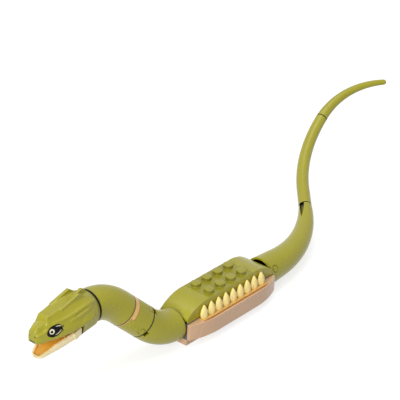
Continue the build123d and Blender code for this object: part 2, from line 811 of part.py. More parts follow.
with BuildPart() as palate:
    edge = along_lip(palate_inset)
    edge[-1] = (edge[-1][0] - palate_inset, edge[-1][1] + palate_inset / 4)
    edge = starting_at(palate_start - jaw_hinge_ahead, edge)
    with BuildSketch(roof_plane):
        Polygon(*edge, *[(reach, -half) for reach, half in reversed(edge)], align=None)
    extrude(amount=-palate_thick)
    under = roof_plane.offset(-palate_thick)
    down = Plane(under.origin, x_dir=under.x_dir, z_dir=-under.z_dir)
    upper_row = tooth_stations([(reach, half - upper_tooth_inset) for reach, half in edge], upper_teeth)
    for number, (reach, half) in enumerate(upper_row):
        height = fang_length if number == len(upper_row) - 1 else small_tooth_length
        for side in (1, -1):
            place = down.origin + down.x_dir * reach + down.y_dir * side * half
            tooth_cone(Plane(place, x_dir=down.x_dir, z_dir=down.z_dir), upper_tooth_radius, height)
save(palate, "palate_teeth")


# ---- Lower jaw ---------------------------------------------------------------------
# In the jaw's frame x is up and z runs forward from the hinge, level with the jaw's rim.
jaw_frame = tilted(Plane(hinge_point, x_dir=head_plane.x_dir, z_dir=head_plane.z_dir), mouth_rise - jaw_open)
rim_point = hinge_point + jaw_frame.x_dir * jaw_rim_rise
rim_plane = Plane(rim_point, x_dir=jaw_frame.z_dir, z_dir=jaw_frame.x_dir)
jaw_side = Plane(hinge_point, x_dir=jaw_frame.z_dir, z_dir=jaw_frame.y_dir)
arm_half = cheek_inner - jaw_side_gap


def jaw_outline(inset):
    """Outline of the tray seen from above, moved in by an inset."""
    half_outline = along_lip(jaw_lip_inset + inset)
    half_outline[0] = (half_outline[0][0] + inset, half_outline[0][1])
    half_outline[-1] = (half_outline[-1][0] - inset, half_outline[-1][1] + inset / 3)
    return half_outline + [(reach, -half) for reach, half in reversed(half_outline)]


jaw_tray_start = along_lip(0)[0][0]
jaw_end = along_lip(0)[-1][0]
underside_slope = degrees(atan2(jaw_depth - jaw_tip_depth, jaw_end - jaw_tray_start))
floor_frame = tilted(jaw_frame, underside_slope)
floor_point = rim_point - rim_plane.z_dir * (jaw_depth - jaw_floor)
floor_plane = Plane(floor_point, x_dir=floor_frame.z_dir, z_dir=floor_frame.x_dir)

with BuildPart() as lower_jaw:
    with BuildSketch(rim_plane):
        Polygon(*jaw_outline(0), align=None)
        with Locations(((jaw_tray_start + jaw_wall - jaw_back) / 2, 0)):
            Rectangle(jaw_tray_start + jaw_wall + jaw_back, 2 * arm_half)
    extrude(amount=-jaw_depth)
    with BuildSketch(jaw_side):
        Polygon(
            (0, jaw_rim_rise - jaw_depth),
            (jaw_tray_start, jaw_rim_rise - jaw_depth),
            (jaw_end, jaw_rim_rise - jaw_tip_depth),
            (jaw_end, -2 * jaw_depth),
            (0, -2 * jaw_depth),
            align=None,
        )
    extrude(amount=2 * neck_radius, both=True, mode=Mode.SUBTRACT)
    with BuildSketch(jaw_side):
        Circle(jaw_arm_radius)
    extrude(amount=arm_half, both=True)
    with BuildSketch(floor_plane):
        Polygon(*jaw_outline(jaw_wall), align=None)
        with Locations((jaw_tray_start / 2, 0)):
            Rectangle(3 * jaw_tray_start, 2 * (arm_half - jaw_wall))
    extrude(amount=2 * jaw_depth, mode=Mode.SUBTRACT)
    for side in (1, -1):
        with BuildSketch(jaw_side.offset(side * (arm_half - jaw_wall))):
            Circle(trunnion_radius)
        extrude(amount=side * (jaw_wall + jaw_side_gap + trunnion_reach))
    lower_row = tooth_stations(along_lip(jaw_lip_inset + jaw_wall / 2), lower_teeth)
    for reach, half in lower_row:
        for side in (1, -1):
            place = rim_plane.origin + rim_plane.x_dir * reach + rim_plane.y_dir * side * half
            foot = Plane(place, x_dir=rim_plane.x_dir, z_dir=rim_plane.z_dir)
            tooth_cone(foot, jaw_tooth_radius, jaw_tooth_height)
save(lower_jaw, "lower_jaw")
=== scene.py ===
"""Looks of a jointed toy snake made of studded bricks, bent tubes and a hinged head.

Shapes are worked out in millimetres in the object's own frame, +X towards the head, +Y to the
snake's left and +Z up. They become the frame's metres when a mesh is finished.
"""
from __future__ import annotations

import json
import logging
import math
from dataclasses import dataclass, field
from enum import Enum
from functools import partial
from typing import Callable, Sequence

import bmesh
import bpy
from mathutils import Matrix, Vector
from mathutils.bvhtree import BVHTree

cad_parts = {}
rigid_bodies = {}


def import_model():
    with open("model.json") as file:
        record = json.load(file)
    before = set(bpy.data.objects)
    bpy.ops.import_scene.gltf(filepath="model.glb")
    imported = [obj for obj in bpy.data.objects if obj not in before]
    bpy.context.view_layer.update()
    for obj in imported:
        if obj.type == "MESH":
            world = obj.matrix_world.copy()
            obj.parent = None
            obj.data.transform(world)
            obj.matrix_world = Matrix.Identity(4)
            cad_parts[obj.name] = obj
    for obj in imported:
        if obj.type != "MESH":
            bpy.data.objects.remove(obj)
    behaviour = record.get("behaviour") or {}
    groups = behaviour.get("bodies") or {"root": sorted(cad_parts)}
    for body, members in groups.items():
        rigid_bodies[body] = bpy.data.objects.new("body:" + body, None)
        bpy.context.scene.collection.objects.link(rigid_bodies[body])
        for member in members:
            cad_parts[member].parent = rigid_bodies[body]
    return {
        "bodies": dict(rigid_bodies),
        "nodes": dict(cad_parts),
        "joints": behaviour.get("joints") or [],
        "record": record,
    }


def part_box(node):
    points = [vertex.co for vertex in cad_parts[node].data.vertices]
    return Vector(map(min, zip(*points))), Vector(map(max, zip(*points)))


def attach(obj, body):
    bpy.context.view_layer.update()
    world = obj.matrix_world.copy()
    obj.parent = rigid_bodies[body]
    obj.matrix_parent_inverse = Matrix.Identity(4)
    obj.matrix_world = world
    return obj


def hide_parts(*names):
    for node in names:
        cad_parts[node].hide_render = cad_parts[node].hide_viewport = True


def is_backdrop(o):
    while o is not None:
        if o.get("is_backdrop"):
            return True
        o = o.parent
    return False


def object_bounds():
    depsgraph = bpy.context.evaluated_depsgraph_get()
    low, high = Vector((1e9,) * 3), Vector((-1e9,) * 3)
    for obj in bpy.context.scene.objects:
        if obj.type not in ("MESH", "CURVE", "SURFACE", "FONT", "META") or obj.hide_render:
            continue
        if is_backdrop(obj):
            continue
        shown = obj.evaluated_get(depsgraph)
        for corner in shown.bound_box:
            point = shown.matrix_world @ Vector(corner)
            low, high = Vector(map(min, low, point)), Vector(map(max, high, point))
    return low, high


LOG = logging.getLogger("toy_snake")
MM = 0.001
TO_METRES = Matrix.Scale(MM, 4)
# How fast the painted shade in a joint deepens towards its face: 1 is even, and more is dark sooner.
PAINTED_SHADE_STEEPNESS = 2.2

Outline = list[tuple[float, float]]
Ring = list[Vector]


# ---- Places ----
@dataclass(frozen=True)
class Seam:
    """A place across a tube: z runs along the tube, x and y lie across it."""

    origin: Vector
    x: Vector
    z: Vector

    @property
    def y(self) -> Vector:
        """Direction across the tube, square to x."""
        return self.z.cross(self.x)

    def at(self, x: float = 0.0, y: float = 0.0, z: float = 0.0) -> Vector:
        """Point at local coordinates."""
        return self.origin + self.x * x + self.y * y + self.z * z

    def ahead(self, distance: float) -> Seam:
        """The seam moved along its own z."""
        return Seam(self.at(z=distance), self.x, self.z)

    def turned(self, angle: float) -> Seam:
        """The seam turned about its z by an angle in degrees."""
        turn = math.radians(angle)
        return Seam(self.origin, self.x * math.cos(turn) + self.y * math.sin(turn), self.z)

    def tipped(self, angle: float) -> Seam:
        """The seam turned about its y, so that z moves towards x by an angle in degrees.

        Args:
            angle: how far to turn.

        Returns:
            The turned seam.
        """
        turn = math.radians(angle)
        onward = self.z * math.cos(turn) + self.x * math.sin(turn)
        return Seam(self.origin, self.x * math.cos(turn) - self.z * math.sin(turn), onward)

    def bent(self, radius: float, angle: float) -> Seam:
        """The far end of a bend towards x."""
        far = self.tipped(angle)
        return Seam(self.origin + self.x * radius - far.x * radius, far.x, far.z)

    def circle(self, radius: float, along: float, steps: int) -> Ring:
        """Points round the tube, or one point where the radius is nothing.

        Args:
            radius: the circle's radius.
            along: its distance ahead of the seam.
            steps: points in it.

        Returns:
            The points in order.
        """
        if radius <= 0:
            return [self.at(z=along)]
        turns = [2 * math.pi * step / steps for step in range(steps)]
        return [self.at(radius * math.cos(t), radius * math.sin(t), along) for t in turns]


UP = Seam(Vector((0, 0, 0)), Vector((1, 0, 0)), Vector((0, 0, 1)))


@dataclass(frozen=True)
class Bend:
    """Middle line of a tube: a straight run, a bend towards the seam's x and a straight run."""

    start: Seam
    first: float
    radius: float
    turn: float
    last: float

    @classmethod
    def between(cls, start: Seam, end: Seam, straight_last: bool = False) -> Bend:
        """Work out the bend that joins two seams.

        Args:
            start: where the tube starts, looking along it.
            end: where it ends, looking the same way.
            straight_last: whether the straight run comes after the bend.

        Returns:
            The bend, with its x pointing to the inside of the curve.
        """
        cosine = start.z.dot(end.z)
        sine = math.sqrt(1 - cosine**2)
        inward = (end.z - start.z * cosine).normalized()
        chord = end.origin - start.origin
        aside, along = chord.dot(inward), chord.dot(start.z)
        seam = Seam(start.origin, inward, start.z)
        turn = math.degrees(math.atan2(sine, cosine))
        if straight_last:
            spread = (1 - cosine) * cosine - sine * sine
            radius = (aside * cosine - along * sine) / spread
            last = (aside - radius * (1 - cosine)) / sine
            return cls(seam, 0.0, radius, turn, last)
        radius = aside / (1 - cosine)
        return cls(seam, along - radius * sine, radius, turn, 0.0)

    @property
    def length(self) -> float:
        """Length along the middle line."""
        return self.first + self.radius * math.radians(self.turn) + self.last

    def at(self, run: float) -> Seam:
        """The seam at a distance along the tube.

        Args:
            run: distance along the middle line.

        Returns:
            The seam there.
        """
        arc = self.radius * math.radians(self.turn)
        if run <= self.first:
            return self.start.ahead(run)
        if run <= self.first + arc:
            angle = math.degrees((run - self.first) / self.radius)
            return self.start.ahead(self.first).bent(self.radius, angle)
        bent = self.start.ahead(self.first).bent(self.radius, self.turn)
        return bent.ahead(run - self.first - arc)


# ---- Curves ----
def spread(low: float, high: float, count: int) -> list[float]:
    """Evenly spaced numbers from low to high, both included."""
    return [low + (high - low) * step / (count - 1) for step in range(count)]


def eased(rows: Sequence[Sequence[float]], place: float) -> list[float]:
    """Read a table at a place, on a smooth curve through its rows.

    Args:
        rows: rows sorted by their first number.
        place: where to read, in the first number's unit.

    Returns:
        The other numbers at that place.
    """
    last = len(rows) - 1
    here = 0
    while here < last - 1 and rows[here + 1][0] < place:
        here += 1
    before, near = rows[max(here - 1, 0)], rows[here]
    far, after = rows[here + 1], rows[min(here + 2, last)]
    span = far[0] - near[0]
    share = min(max((place - near[0]) / span, 0.0), 1.0)
    values = []
    for column in range(1, len(near)):
        start_slope = (far[column] - before[column]) / (far[0] - before[0]) * span
        end_slope = (after[column] - near[column]) / (after[0] - near[0]) * span
        rise = far[column] - near[column]
        square = 3 * rise - 2 * start_slope - end_slope
        cube = start_slope + end_slope - 2 * rise
        values.append(near[column] + share * (start_slope + share * (square + share * cube)))
    return values


def rounded(points: Outline, radius: float, steps: int = 4, closed: bool = True) -> Outline:
    """Round the corners of an outline.

    Args:
        points: corners in order.
        radius: distance from a corner to where its rounding starts.
        steps: pieces of each rounding.
        closed: whether the outline is a loop. An open one keeps its two end points.

    Returns:
        The outline with each corner as a short curve.
    """
    count = len(points)
    result: Outline = []
    for index, corner in enumerate(points):
        if not closed and index in (0, count - 1):
            result.append(corner)
            continue
        here = Vector(corner)
        back = Vector(points[index - 1]) - here
        on = Vector(points[(index + 1) % count]) - here
        reach = min(radius, back.length / 2.01, on.length / 2.01)
        first, last = here + back.normalized() * reach, here + on.normalized() * reach
        for step in range(steps + 1):
            share = step / steps
            point = first * (1 - share) ** 2 + here * 2 * share * (1 - share) + last * share**2
            result.append((point.x, point.y))
    return result


def mirrored(half: Outline) -> Outline:
    """Close an outline over its own mirror image in the line y = 0."""
    return half + [(x, -y) for x, y in reversed(half)]


def painted_joint_shade(faces: Sequence[Seam], reach: float = 0.5) -> Callable[[Vector], float]:
    """Painted shade in the joint beside some flat faces, by how deep a point lies in it.

    Args:
        faces: the flat faces.
        reach: distance from a face at which the joint starts.

    Returns:
        A function of a point, from 0 outside to 1 on a face.
    """

    def depth(point: Vector) -> float:
        """Painted shade at one point."""
        near = min(abs((point - face.origin).dot(face.z)) for face in faces)
        return min(max(PAINTED_SHADE_STEEPNESS * (1 - near / reach), 0.0), 1.0)

    return depth


def from_axis(seam: Seam, point: Vector) -> tuple[float, float]:
    """Distance of a point from a seam's line, and its distance along it.

    Args:
        seam: where the line starts, along its z.
        point: the place.

    Returns:
        The two distances.
    """
    offset = point - seam.origin
    along = offset.dot(seam.z)
    return (offset - seam.z * along).length, along


@dataclass(frozen=True)
class TubeEnd:
    """Section of a tube's end: a bored hub, inside a hollow ring where the end has a recess."""

    wall: float = 1.6
    rim: float = 0.9
    recess: float = 2.2
    hub: float = 4.6
    bore: float = 2.45
    bore_depth: float = 8.0
    seat: float = 3.15
    seat_depth: float = 0.85
    edge: float = 0.15
    groove: float = 0.34
    dip: float = 0.8

    @property
    def lead(self) -> float:
        """Distance from the end at which the tube's plain skin starts."""
        return self.groove + 5 * self.edge

    def section(self, radius: float) -> Outline:
        """Radius and depth of the end's surface, from the bottom of its bore out to the rim.

        Args:
            radius: the tube's outer radius.

        Returns:
            Pairs of radius and depth.
        """
        corners = [(0.0, self.bore_depth), (self.bore, self.bore_depth), (self.bore, self.seat_depth)]
        corners += [(self.seat, self.seat_depth), (self.seat, 0.0)]
        if self.recess:
            inner = radius - self.wall
            corners += [(self.hub, 0.0), (self.hub, self.recess), (inner, self.recess)]
            corners += [(inner, self.wall), (radius - self.rim, 0.0)]
        corners += [(radius - self.dip, 0.0), (radius - self.dip, self.groove), (radius, self.groove)]
        corners.append((radius, self.groove + 4 * self.edge))
        return rounded(corners, self.edge, closed=False)

    def within(self, seam: Seam, radius: float, point: Vector) -> float:
        """Painted shade: 1 for a point in the end's hollow or bore, and 0 elsewhere.

        Args:
            seam: the end's face, looking into the tube.
            radius: the tube's outer radius.
            point: the place.

        Returns:
            The painted shade.
        """
        out, along = from_axis(seam, point)
        bottom = max(self.recess, self.bore_depth) + 0.5
        return 1.0 if -0.1 < along < bottom and out < radius - self.rim - 0.1 else 0.0


# ---- Meshes ----
class Joining(Enum):
    """How a tool changes the mesh it meets."""

    CUT = "DIFFERENCE"
    JOIN = "UNION"


@dataclass
class Moulding:
    """A mesh in the making, in millimetres."""

    bm: bmesh.types.BMesh = field(default_factory=bmesh.new)

    def skin(self, rings: Sequence[Ring], loop: bool = False) -> Moulding:
        """Add a closed skin over rings of points.

        Args:
            rings: rings of equal count in order, or single points for a pole.
            loop: whether the last ring joins the first, which leaves a hole through.

        Returns:
            The moulding itself.
        """
        loops = [[self.bm.verts.new(point) for point in ring] for ring in rings]
        pairs = list(zip(loops, loops[1:]))
        if loop:
            pairs.append((loops[-1], loops[0]))
        for near, far in pairs:
            count = max(len(near), len(far))
            for step in range(count):
                after = (step + 1) % count
                corners = [near[step % len(near)], near[after % len(near)]]
                corners += [far[after % len(far)], far[step % len(far)]]
                self.bm.faces.new(list(dict.fromkeys(corners)))
        for end in (loops[0], loops[-1]):
            if not loop and len(end) > 1:
                self.bm.faces.new(end)
        bmesh.ops.recalc_face_normals(self.bm, faces=self.bm.faces)
        return self

    def lathe(self, seam: Seam, profile: Outline, steps: int = 64, loop: bool = False) -> Moulding:
        """Add a turned shape, from pairs of radius and distance along the seam."""
        return self.skin([seam.circle(radius, along, steps) for radius, along in profile], loop)

    def prism(self, seam: Seam, outline: Outline, low: float, high: float) -> Moulding:
        """Add an outline drawn across the seam and carried from low to high along it."""
        return self.skin([[seam.at(x, y, level) for x, y in outline] for level in (low, high)])

    def box(self, low: Sequence[float], high: Sequence[float], seam: Seam = UP) -> Moulding:
        """Add a box between two corners in a seam's coordinates."""
        outline = [(low[0], low[1]), (high[0], low[1]), (high[0], high[1]), (low[0], high[1])]
        return self.prism(seam, outline, low[2], high[2])

    def tube(
        self,
        bend: Bend,
        girth: Callable[[float], float],
        first: TubeEnd,
        last: TubeEnd | None,
        steps: int = 40,
        around: int = 72,
    ) -> Moulding:
        """Add a tube along a bend.

        Args:
            bend: its middle line.
            girth: its radius at a distance along that line.
            first: its moulded end at the start.
            last: its other moulded end, or nothing where the tube ends in a rounded point.
            steps: rings along it.
            around: points round it.

        Returns:
            The moulding itself.
        """
        far = bend.at(bend.length)
        end_girth = girth(bend.length)
        lead = first.lead
        reach = bend.length - (last.lead if last else end_girth)
        rings = [bend.start.circle(radius, depth, around) for radius, depth in first.section(girth(0.0))]
        rings += [bend.at(run).circle(girth(run), 0.0, around) for run in spread(lead, reach, steps)]
        if last:
            rings += [far.circle(r, -depth, around) for r, depth in reversed(last.section(end_girth))]
        else:
            for turn in spread(15, 90, 6):
                radius = end_girth * math.cos(math.radians(turn)) if turn < 90 else 0.0
                rings.append(far.circle(radius, end_girth * (math.sin(math.radians(turn)) - 1), around))
        return self.skin(rings)

    def remesh(self, voxel: float, smoothing: int) -> Moulding:
        """Rebuild the surface on an even grid and smooth it.

        Args:
            voxel: the grid's step.
            smoothing: how many times to smooth it.

        Returns:
            The moulding itself.
        """
        self.modify("REMESH", mode="VOXEL", voxel_size=voxel)
        for _ in range(smoothing):
            bmesh.ops.smooth_vert(
                self.bm, verts=self.bm.verts, factor=0.5, use_axis_x=True, use_axis_y=True, use_axis_z=True
            )
        return self

    def modify(self, kind: str, **settings: object) -> Moulding:
        """Apply one modifier to the mesh.

        Args:
            kind: the modifier's type.
            settings: the modifier's own properties.

        Returns:
            The moulding itself.
        """
        made = self.scratch_object()
        modifier = made.modifiers.new(kind.lower(), kind)
        for name, value in settings.items():
            setattr(modifier, name, value)
        self.take(made)
        return self

    def scratch_object(self) -> bpy.types.Object:
        """A temporary object of this mesh, linked to the scene.

        Returns:
            The object, which take() drops again.
        """
        mesh = bpy.data.meshes.new("scratch")
        self.bm.to_mesh(mesh)
        made = bpy.data.objects.new("scratch", mesh)
        bpy.context.scene.collection.objects.link(made)
        return made

    def take(self, made: bpy.types.Object) -> None:
        """Replace the mesh by an object's mesh with its modifiers applied, and drop the object.

        Args:
            made: the object.
        """
        bpy.context.view_layer.update()
        result = bpy.data.meshes.new_from_object(made.evaluated_get(bpy.context.evaluated_depsgraph_get()))
        self.bm.clear()
        self.bm.from_mesh(result)
        bpy.data.meshes.remove(result)
        bpy.data.meshes.remove(made.data)

    def combine(self, tool: Moulding, how: Joining) -> Moulding:
        """Cut or join this mesh with another.

        Args:
            tool: the other closed mesh.
            how: whether to cut it away or to join it on.

        Returns:
            The moulding itself.
        """
        other = tool.scratch_object()
        self.modify("BOOLEAN", operation=how.value, object=other, solver="EXACT")
        bpy.data.meshes.remove(other.data)
        bmesh.ops.dissolve_degenerate(self.bm, dist=1e-4, edges=self.bm.edges)
        return self

    def soften(self, width: float, segments: int = 3, angle: float = 35.0) -> Moulding:
        """Round every edge that is sharper than an angle in degrees."""
        limit = {"limit_method": "ANGLE", "angle_limit": math.radians(angle)}
        return self.modify("BEVEL", width=width, segments=segments, miter_outer="MITER_ARC", **limit)

    def tree(self) -> BVHTree:
        """Search tree over the mesh's faces."""
        return BVHTree.FromBMesh(self.bm)


# ---- Finishes ----
def linear(red: int, green: int, blue: int) -> tuple[float, float, float, float]:
    """Colour for a shader from 8-bit display values.

    Args:
        red: red, from 0 to 255.
        green: green.
        blue: blue.

    Returns:
        Red, green, blue and alpha on a linear scale.
    """

    def channel(value: int) -> float:
        """One channel on the shader's linear scale."""
        share = value / 255
        return share / 12.92 if share <= 0.04045 else ((share + 0.055) / 1.055) ** 2.4

    return channel(red), channel(green), channel(blue), 1.0


class Sockets(Enum):
    """Kinds of sockets that the node groups have."""

    COLOUR = "NodeSocketColor"
    NUMBER = "NodeSocketFloat"


class Wiring:
    """Short way to place nodes in a tree and to link them."""

    def __init__(self, tree: bpy.types.NodeTree) -> None:
        """Keep the tree that the nodes go into."""
        self.tree = tree

    def node(
        self, kind: str, inputs: dict[str | int, object] | None = None, **settings: object
    ) -> bpy.types.Node:
        """Add a node.

        Args:
            kind: the node's type, without its ShaderNode prefix.
            inputs: values or output sockets for the node's inputs.
            settings: the node's own properties.

        Returns:
            The node.
        """
        made = self.tree.nodes.new(kind if kind.startswith("Node") else "ShaderNode" + kind)
        for name, value in settings.items():
            setattr(made, name, value)
        for name, value in (inputs or {}).items():
            if isinstance(value, bpy.types.NodeSocket):
                self.tree.links.new(value, made.inputs[name])
            else:
                made.inputs[name].default_value = value
        return made

    def maths(
        self, first: object, second: object, operation: str = "ADD", clamp: bool = False
    ) -> bpy.types.NodeSocket:
        """Output of a maths node on two values or sockets."""
        return self.node("Math", {0: first, 1: second}, operation=operation, use_clamp=clamp).outputs[0]


def new_group(name: str, inputs: dict[str, Sockets], outputs: dict[str, Sockets]) -> bpy.types.NodeTree:
    """An empty shader group with named sockets.

    Args:
        name: the group's name.
        inputs: its inputs and their kinds.
        outputs: its outputs and their kinds.

    Returns:
        The group.
    """
    tree = bpy.data.node_groups.new(name, "ShaderNodeTree")
    for way, sockets in (("INPUT", inputs), ("OUTPUT", outputs)):
        for label, kind in sockets.items():
            tree.interface.new_socket(name=label, in_out=way, socket_type=kind.value)
    return tree


def mould_flow_group() -> bpy.types.NodeTree:
    """Group: slow drift of a plastic's colour, as the melt leaves it in the mould.

    Returns:
        The group, from a base colour, a drift and a patch scale to a colour.
    """
    tree = new_group(
        "mould_flow",
        {"Base": Sockets.COLOUR, "Drift": Sockets.NUMBER, "Scale": Sockets.NUMBER},
        {"Colour": Sockets.COLOUR},
    )
    wires = Wiring(tree)
    given = wires.node("NodeGroupInput").outputs
    place = wires.node("TexCoord").outputs["Object"]
    patches = wires.node(
        "TexNoise", {"Vector": place, "Scale": given["Scale"], "Detail": 3.0, "Roughness": 0.55}
    ).outputs[0]
    specks = wires.node("TexNoise", {"Vector": place, "Scale": 1900.0, "Detail": 1.0}).outputs[0]
    both = wires.maths(wires.maths(patches, 0.85, "MULTIPLY"), wires.maths(specks, 0.15, "MULTIPLY"))
    swing = wires.maths(wires.maths(both, 0.5, "SUBTRACT"), given["Drift"], "MULTIPLY")
    value = wires.maths(swing, 1.0)
    hue = wires.maths(wires.maths(swing, 0.08, "MULTIPLY"), 0.5)
    tinted = wires.node("HueSaturation", {"Hue": hue, "Value": value, "Color": given["Base"]}).outputs[0]
    wires.node("NodeGroupOutput", {"Colour": tinted})
    return tree


def handling_group() -> bpy.types.NodeTree:
    """Group: finger smudges, hairline scratches and mould grain.

    Returns:
        The group, from a roughness, its spread and a scratch strength to a roughness and a height.
    """
    tree = new_group(
        "handling",
        {"Roughness": Sockets.NUMBER, "Spread": Sockets.NUMBER, "Scratches": Sockets.NUMBER},
        {"Roughness": Sockets.NUMBER, "Height": Sockets.NUMBER},
    )
    wires = Wiring(tree)
    given = wires.node("NodeGroupInput").outputs
    place = wires.node("TexCoord").outputs["Object"]
    smudges = wires.node(
        "TexNoise", {"Vector": place, "Scale": 130.0, "Detail": 4.0, "Distortion": 0.6}
    ).outputs[0]
    grain = wires.node("TexNoise", {"Vector": place, "Scale": 3200.0, "Detail": 2.0}).outputs[0]
    tilted = wires.node(
        "Mapping", {"Vector": place, "Rotation": (0.5, 0.7, 0.9), "Scale": (90.0, 2600.0, 2600.0)}
    ).outputs[0]
    streaks = wires.node("TexNoise", {"Vector": tilted, "Scale": 1.0, "Detail": 1.0}).outputs[0]
    hairs = wires.node(
        "MapRange", {"Value": streaks, "From Min": 0.66, "From Max": 0.76, "To Min": 0.0, "To Max": 1.0}
    ).outputs[0]
    worn = wires.maths(hairs, given["Scratches"], "MULTIPLY")
    swing = wires.maths(wires.maths(smudges, 0.5, "SUBTRACT"), given["Spread"], "MULTIPLY")
    marred = wires.maths(worn, 0.12, "MULTIPLY")
    rough = wires.maths(wires.maths(given["Roughness"], swing), marred, clamp=True)
    relief = wires.maths(wires.maths(grain, 0.4, "MULTIPLY"), worn, "SUBTRACT")
    wires.node("NodeGroupOutput", {"Roughness": rough, "Height": relief})
    return tree


@dataclass(frozen=True)
class Plastic:
    """A moulded plastic.

    The colours are 8-bit display values. Depth is the colour that shows where the mesh's
    "depth" attribute is 1: painted shade in recesses and joints, and on the jaw its amber inside.
    """

    name: str
    slot: str
    colour: tuple[int, int, int]
    depth: tuple[int, int, int] | None = None
    drift: float = 0.10
    patch_scale: float = 55.0
    roughness: float = 0.27
    spread: float = 0.10
    scratches: float = 0.35
    relief: float = 0.012
    glow: float = 0.0
    glow_reach: float = 0.0015
    gloss: float = 0.5

    # A colour mix node's sockets share their names with its other kinds, so they go by number.
    MIX_SHARE, MIX_FIRST, MIX_SECOND, MIX_RESULT = 0, 6, 7, 2

    def material(self) -> bpy.types.Material:
        """The plastic's material, made once.

        Returns:
            The material.
        """
        found = bpy.data.materials.get(self.name)
        if found:
            return found
        made = bpy.data.materials.new(self.name)
        made.use_nodes = True
        made.node_tree.nodes.clear()
        wires = Wiring(made.node_tree)
        base: object = linear(*self.colour)
        if self.depth:
            mask = wires.node("Attribute", attribute_name="depth").outputs["Fac"]
            colours = {self.MIX_SHARE: mask, self.MIX_FIRST: base, self.MIX_SECOND: linear(*self.depth)}
            base = wires.node("Mix", colours, data_type="RGBA").outputs[self.MIX_RESULT]
        groups = bpy.data.node_groups
        flow_inputs = {"Base": base, "Drift": self.drift, "Scale": self.patch_scale}
        flow = wires.node("Group", flow_inputs, node_tree=groups["mould_flow"])
        touch_inputs = {"Roughness": self.roughness, "Spread": self.spread, "Scratches": self.scratches}
        touch = wires.node("Group", touch_inputs, node_tree=groups["handling"])
        bump = wires.node(
            "Bump", {"Height": touch.outputs["Height"], "Distance": self.relief * MM, "Strength": 1.0}
        )
        shader = wires.node(
            "BsdfPrincipled",
            {
                "Base Color": flow.outputs["Colour"],
                "Roughness": touch.outputs["Roughness"],
                "Normal": bump.outputs["Normal"],
                "IOR": 1.5,
                "Specular IOR Level": self.gloss,
                "Subsurface Weight": self.glow,
                "Subsurface Radius": (1.0, 0.8, 0.5),
                "Subsurface Scale": self.glow_reach,
            },
        )
        wires.node("OutputMaterial", {"Surface": shader.outputs[0]})
        return made


# The olive's depth colour, near black, is painted shade in joints, slots, hollows and round the studs.
OLIVE = Plastic("olive_green_plastic", "olive_plastic", (168, 161, 36), depth=(8, 7, 3), gloss=0.42)
# The tan's depth colour is painted shade in the side hulls' grooves.
TAN = Plastic("brownish_tan_plastic", "tan_plastic", (216, 176, 140), depth=(184, 132, 82), drift=0.08)
# The ring's depth colour is painted shade in its joints.
LIGHT_TAN = Plastic(
    "light_tan_ring_plastic", "light_tan_plastic", (236, 188, 110), depth=(70, 34, 14), drift=0.08
)
# The teeth's depth colour is painted shade on the plate under them.
IVORY = Plastic(
    "pale_yellow_plastic", "tooth_plastic", (255, 230, 150), depth=(226, 178, 96),
    drift=0.12, patch_scale=420.0, roughness=0.34, glow=0.22,
)
# The palate's umber depth colour is painted shade under the mouth's roof.
PALATE = Plastic(
    "ivory_plastic_with_painted_shade", "tooth_plastic", (255, 232, 164), depth=(112, 64, 26),
    drift=0.1, patch_scale=300.0, roughness=0.34, glow=0.1,
)
JAW_PEACH = Plastic(
    "peach_to_amber_plastic", "tooth_plastic", (255, 234, 184), depth=(255, 190, 70),
    drift=0.08, roughness=0.3, glow=0.3, glow_reach=0.002,
)
BLACK = Plastic("black_pin_plastic", "black_plastic", (18, 18, 18), drift=0.2, roughness=0.32)
GREY = Plastic("dark_grey_plastic", "grey_plastic", (88, 86, 94), drift=0.12, roughness=0.3)
PRINT_BLACK = Plastic(
    "black_print", "olive_plastic", (10, 10, 8), drift=0.1, roughness=0.4, scratches=0.1, gloss=0.15
)
PRINT_PALE = Plastic(
    "pale_print", "olive_plastic", (236, 232, 206), drift=0.06, roughness=0.4, scratches=0.1, gloss=0.15
)


@dataclass(frozen=True)
class Workshop:
    """Turns mouldings into finished pieces, and dresses the pieces that keep their own shape."""

    sharp_angle: float = 42.0

    def make(
        self,
        name: str,
        shape: Moulding,
        plastic: Plastic,
        body: str,
        nodes: Sequence[str] = (),
        depth: Callable[[Vector], float] | None = None,
    ) -> bpy.types.Object:
        """Finish a piece.

        Args:
            name: the piece's name.
            shape: its mesh.
            plastic: its finish.
            body: the body that it rides on.
            nodes: the solids that it stands for.
            depth: share of the plastic's depth colour at a point, from 0 to 1: painted shade, and on the jaw
                its amber.

        Returns:
            The finished object.
        """
        mesh = bpy.data.meshes.new(name)
        bmesh.ops.recalc_face_normals(shape.bm, faces=shape.bm.faces)
        shape.bm.to_mesh(mesh)
        if depth:
            values = mesh.attributes.new("depth", "FLOAT", "POINT")
            values.data.foreach_set("value", [depth(vertex.co) for vertex in mesh.vertices])
        mesh.transform(TO_METRES)
        mesh.shade_smooth()
        mesh.set_sharp_from_angle(angle=math.radians(self.sharp_angle))
        mesh.materials.append(plastic.material())
        made = bpy.data.objects.new(name, mesh)
        bpy.context.scene.collection.objects.link(made)
        self.even_normals(made)
        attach(made, body)
        if nodes:
            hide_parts(*nodes)
        LOG.info("made %s: %d faces", name, len(made.data.polygons))
        return made

    @staticmethod
    def even_normals(made: bpy.types.Object) -> None:
        """Keep flat faces flat beside their rounded edges.

        Args:
            made: the piece.
        """
        modifier = made.modifiers.new("normals", "WEIGHTED_NORMAL")
        modifier.keep_sharp = True
        bpy.context.view_layer.update()
        result = bpy.data.meshes.new_from_object(made.evaluated_get(bpy.context.evaluated_depsgraph_get()))
        old = made.data
        made.modifiers.clear()
        made.data = result
        result.name = made.name
        bpy.data.meshes.remove(old)

    @staticmethod
    def dress(nodes: dict[str, bpy.types.Object], names: Sequence[str], plastic: Plastic) -> None:
        """Give solids that keep their own shape a finish.

        Args:
            nodes: the frame's solids by name.
            names: which of them to dress.
            plastic: their finish.
        """
        for name in names:
            mesh = nodes[name].data
            mesh.materials.clear()
            mesh.materials.append(plastic.material())
            LOG.info("dressed %s in %s", name, plastic.name)


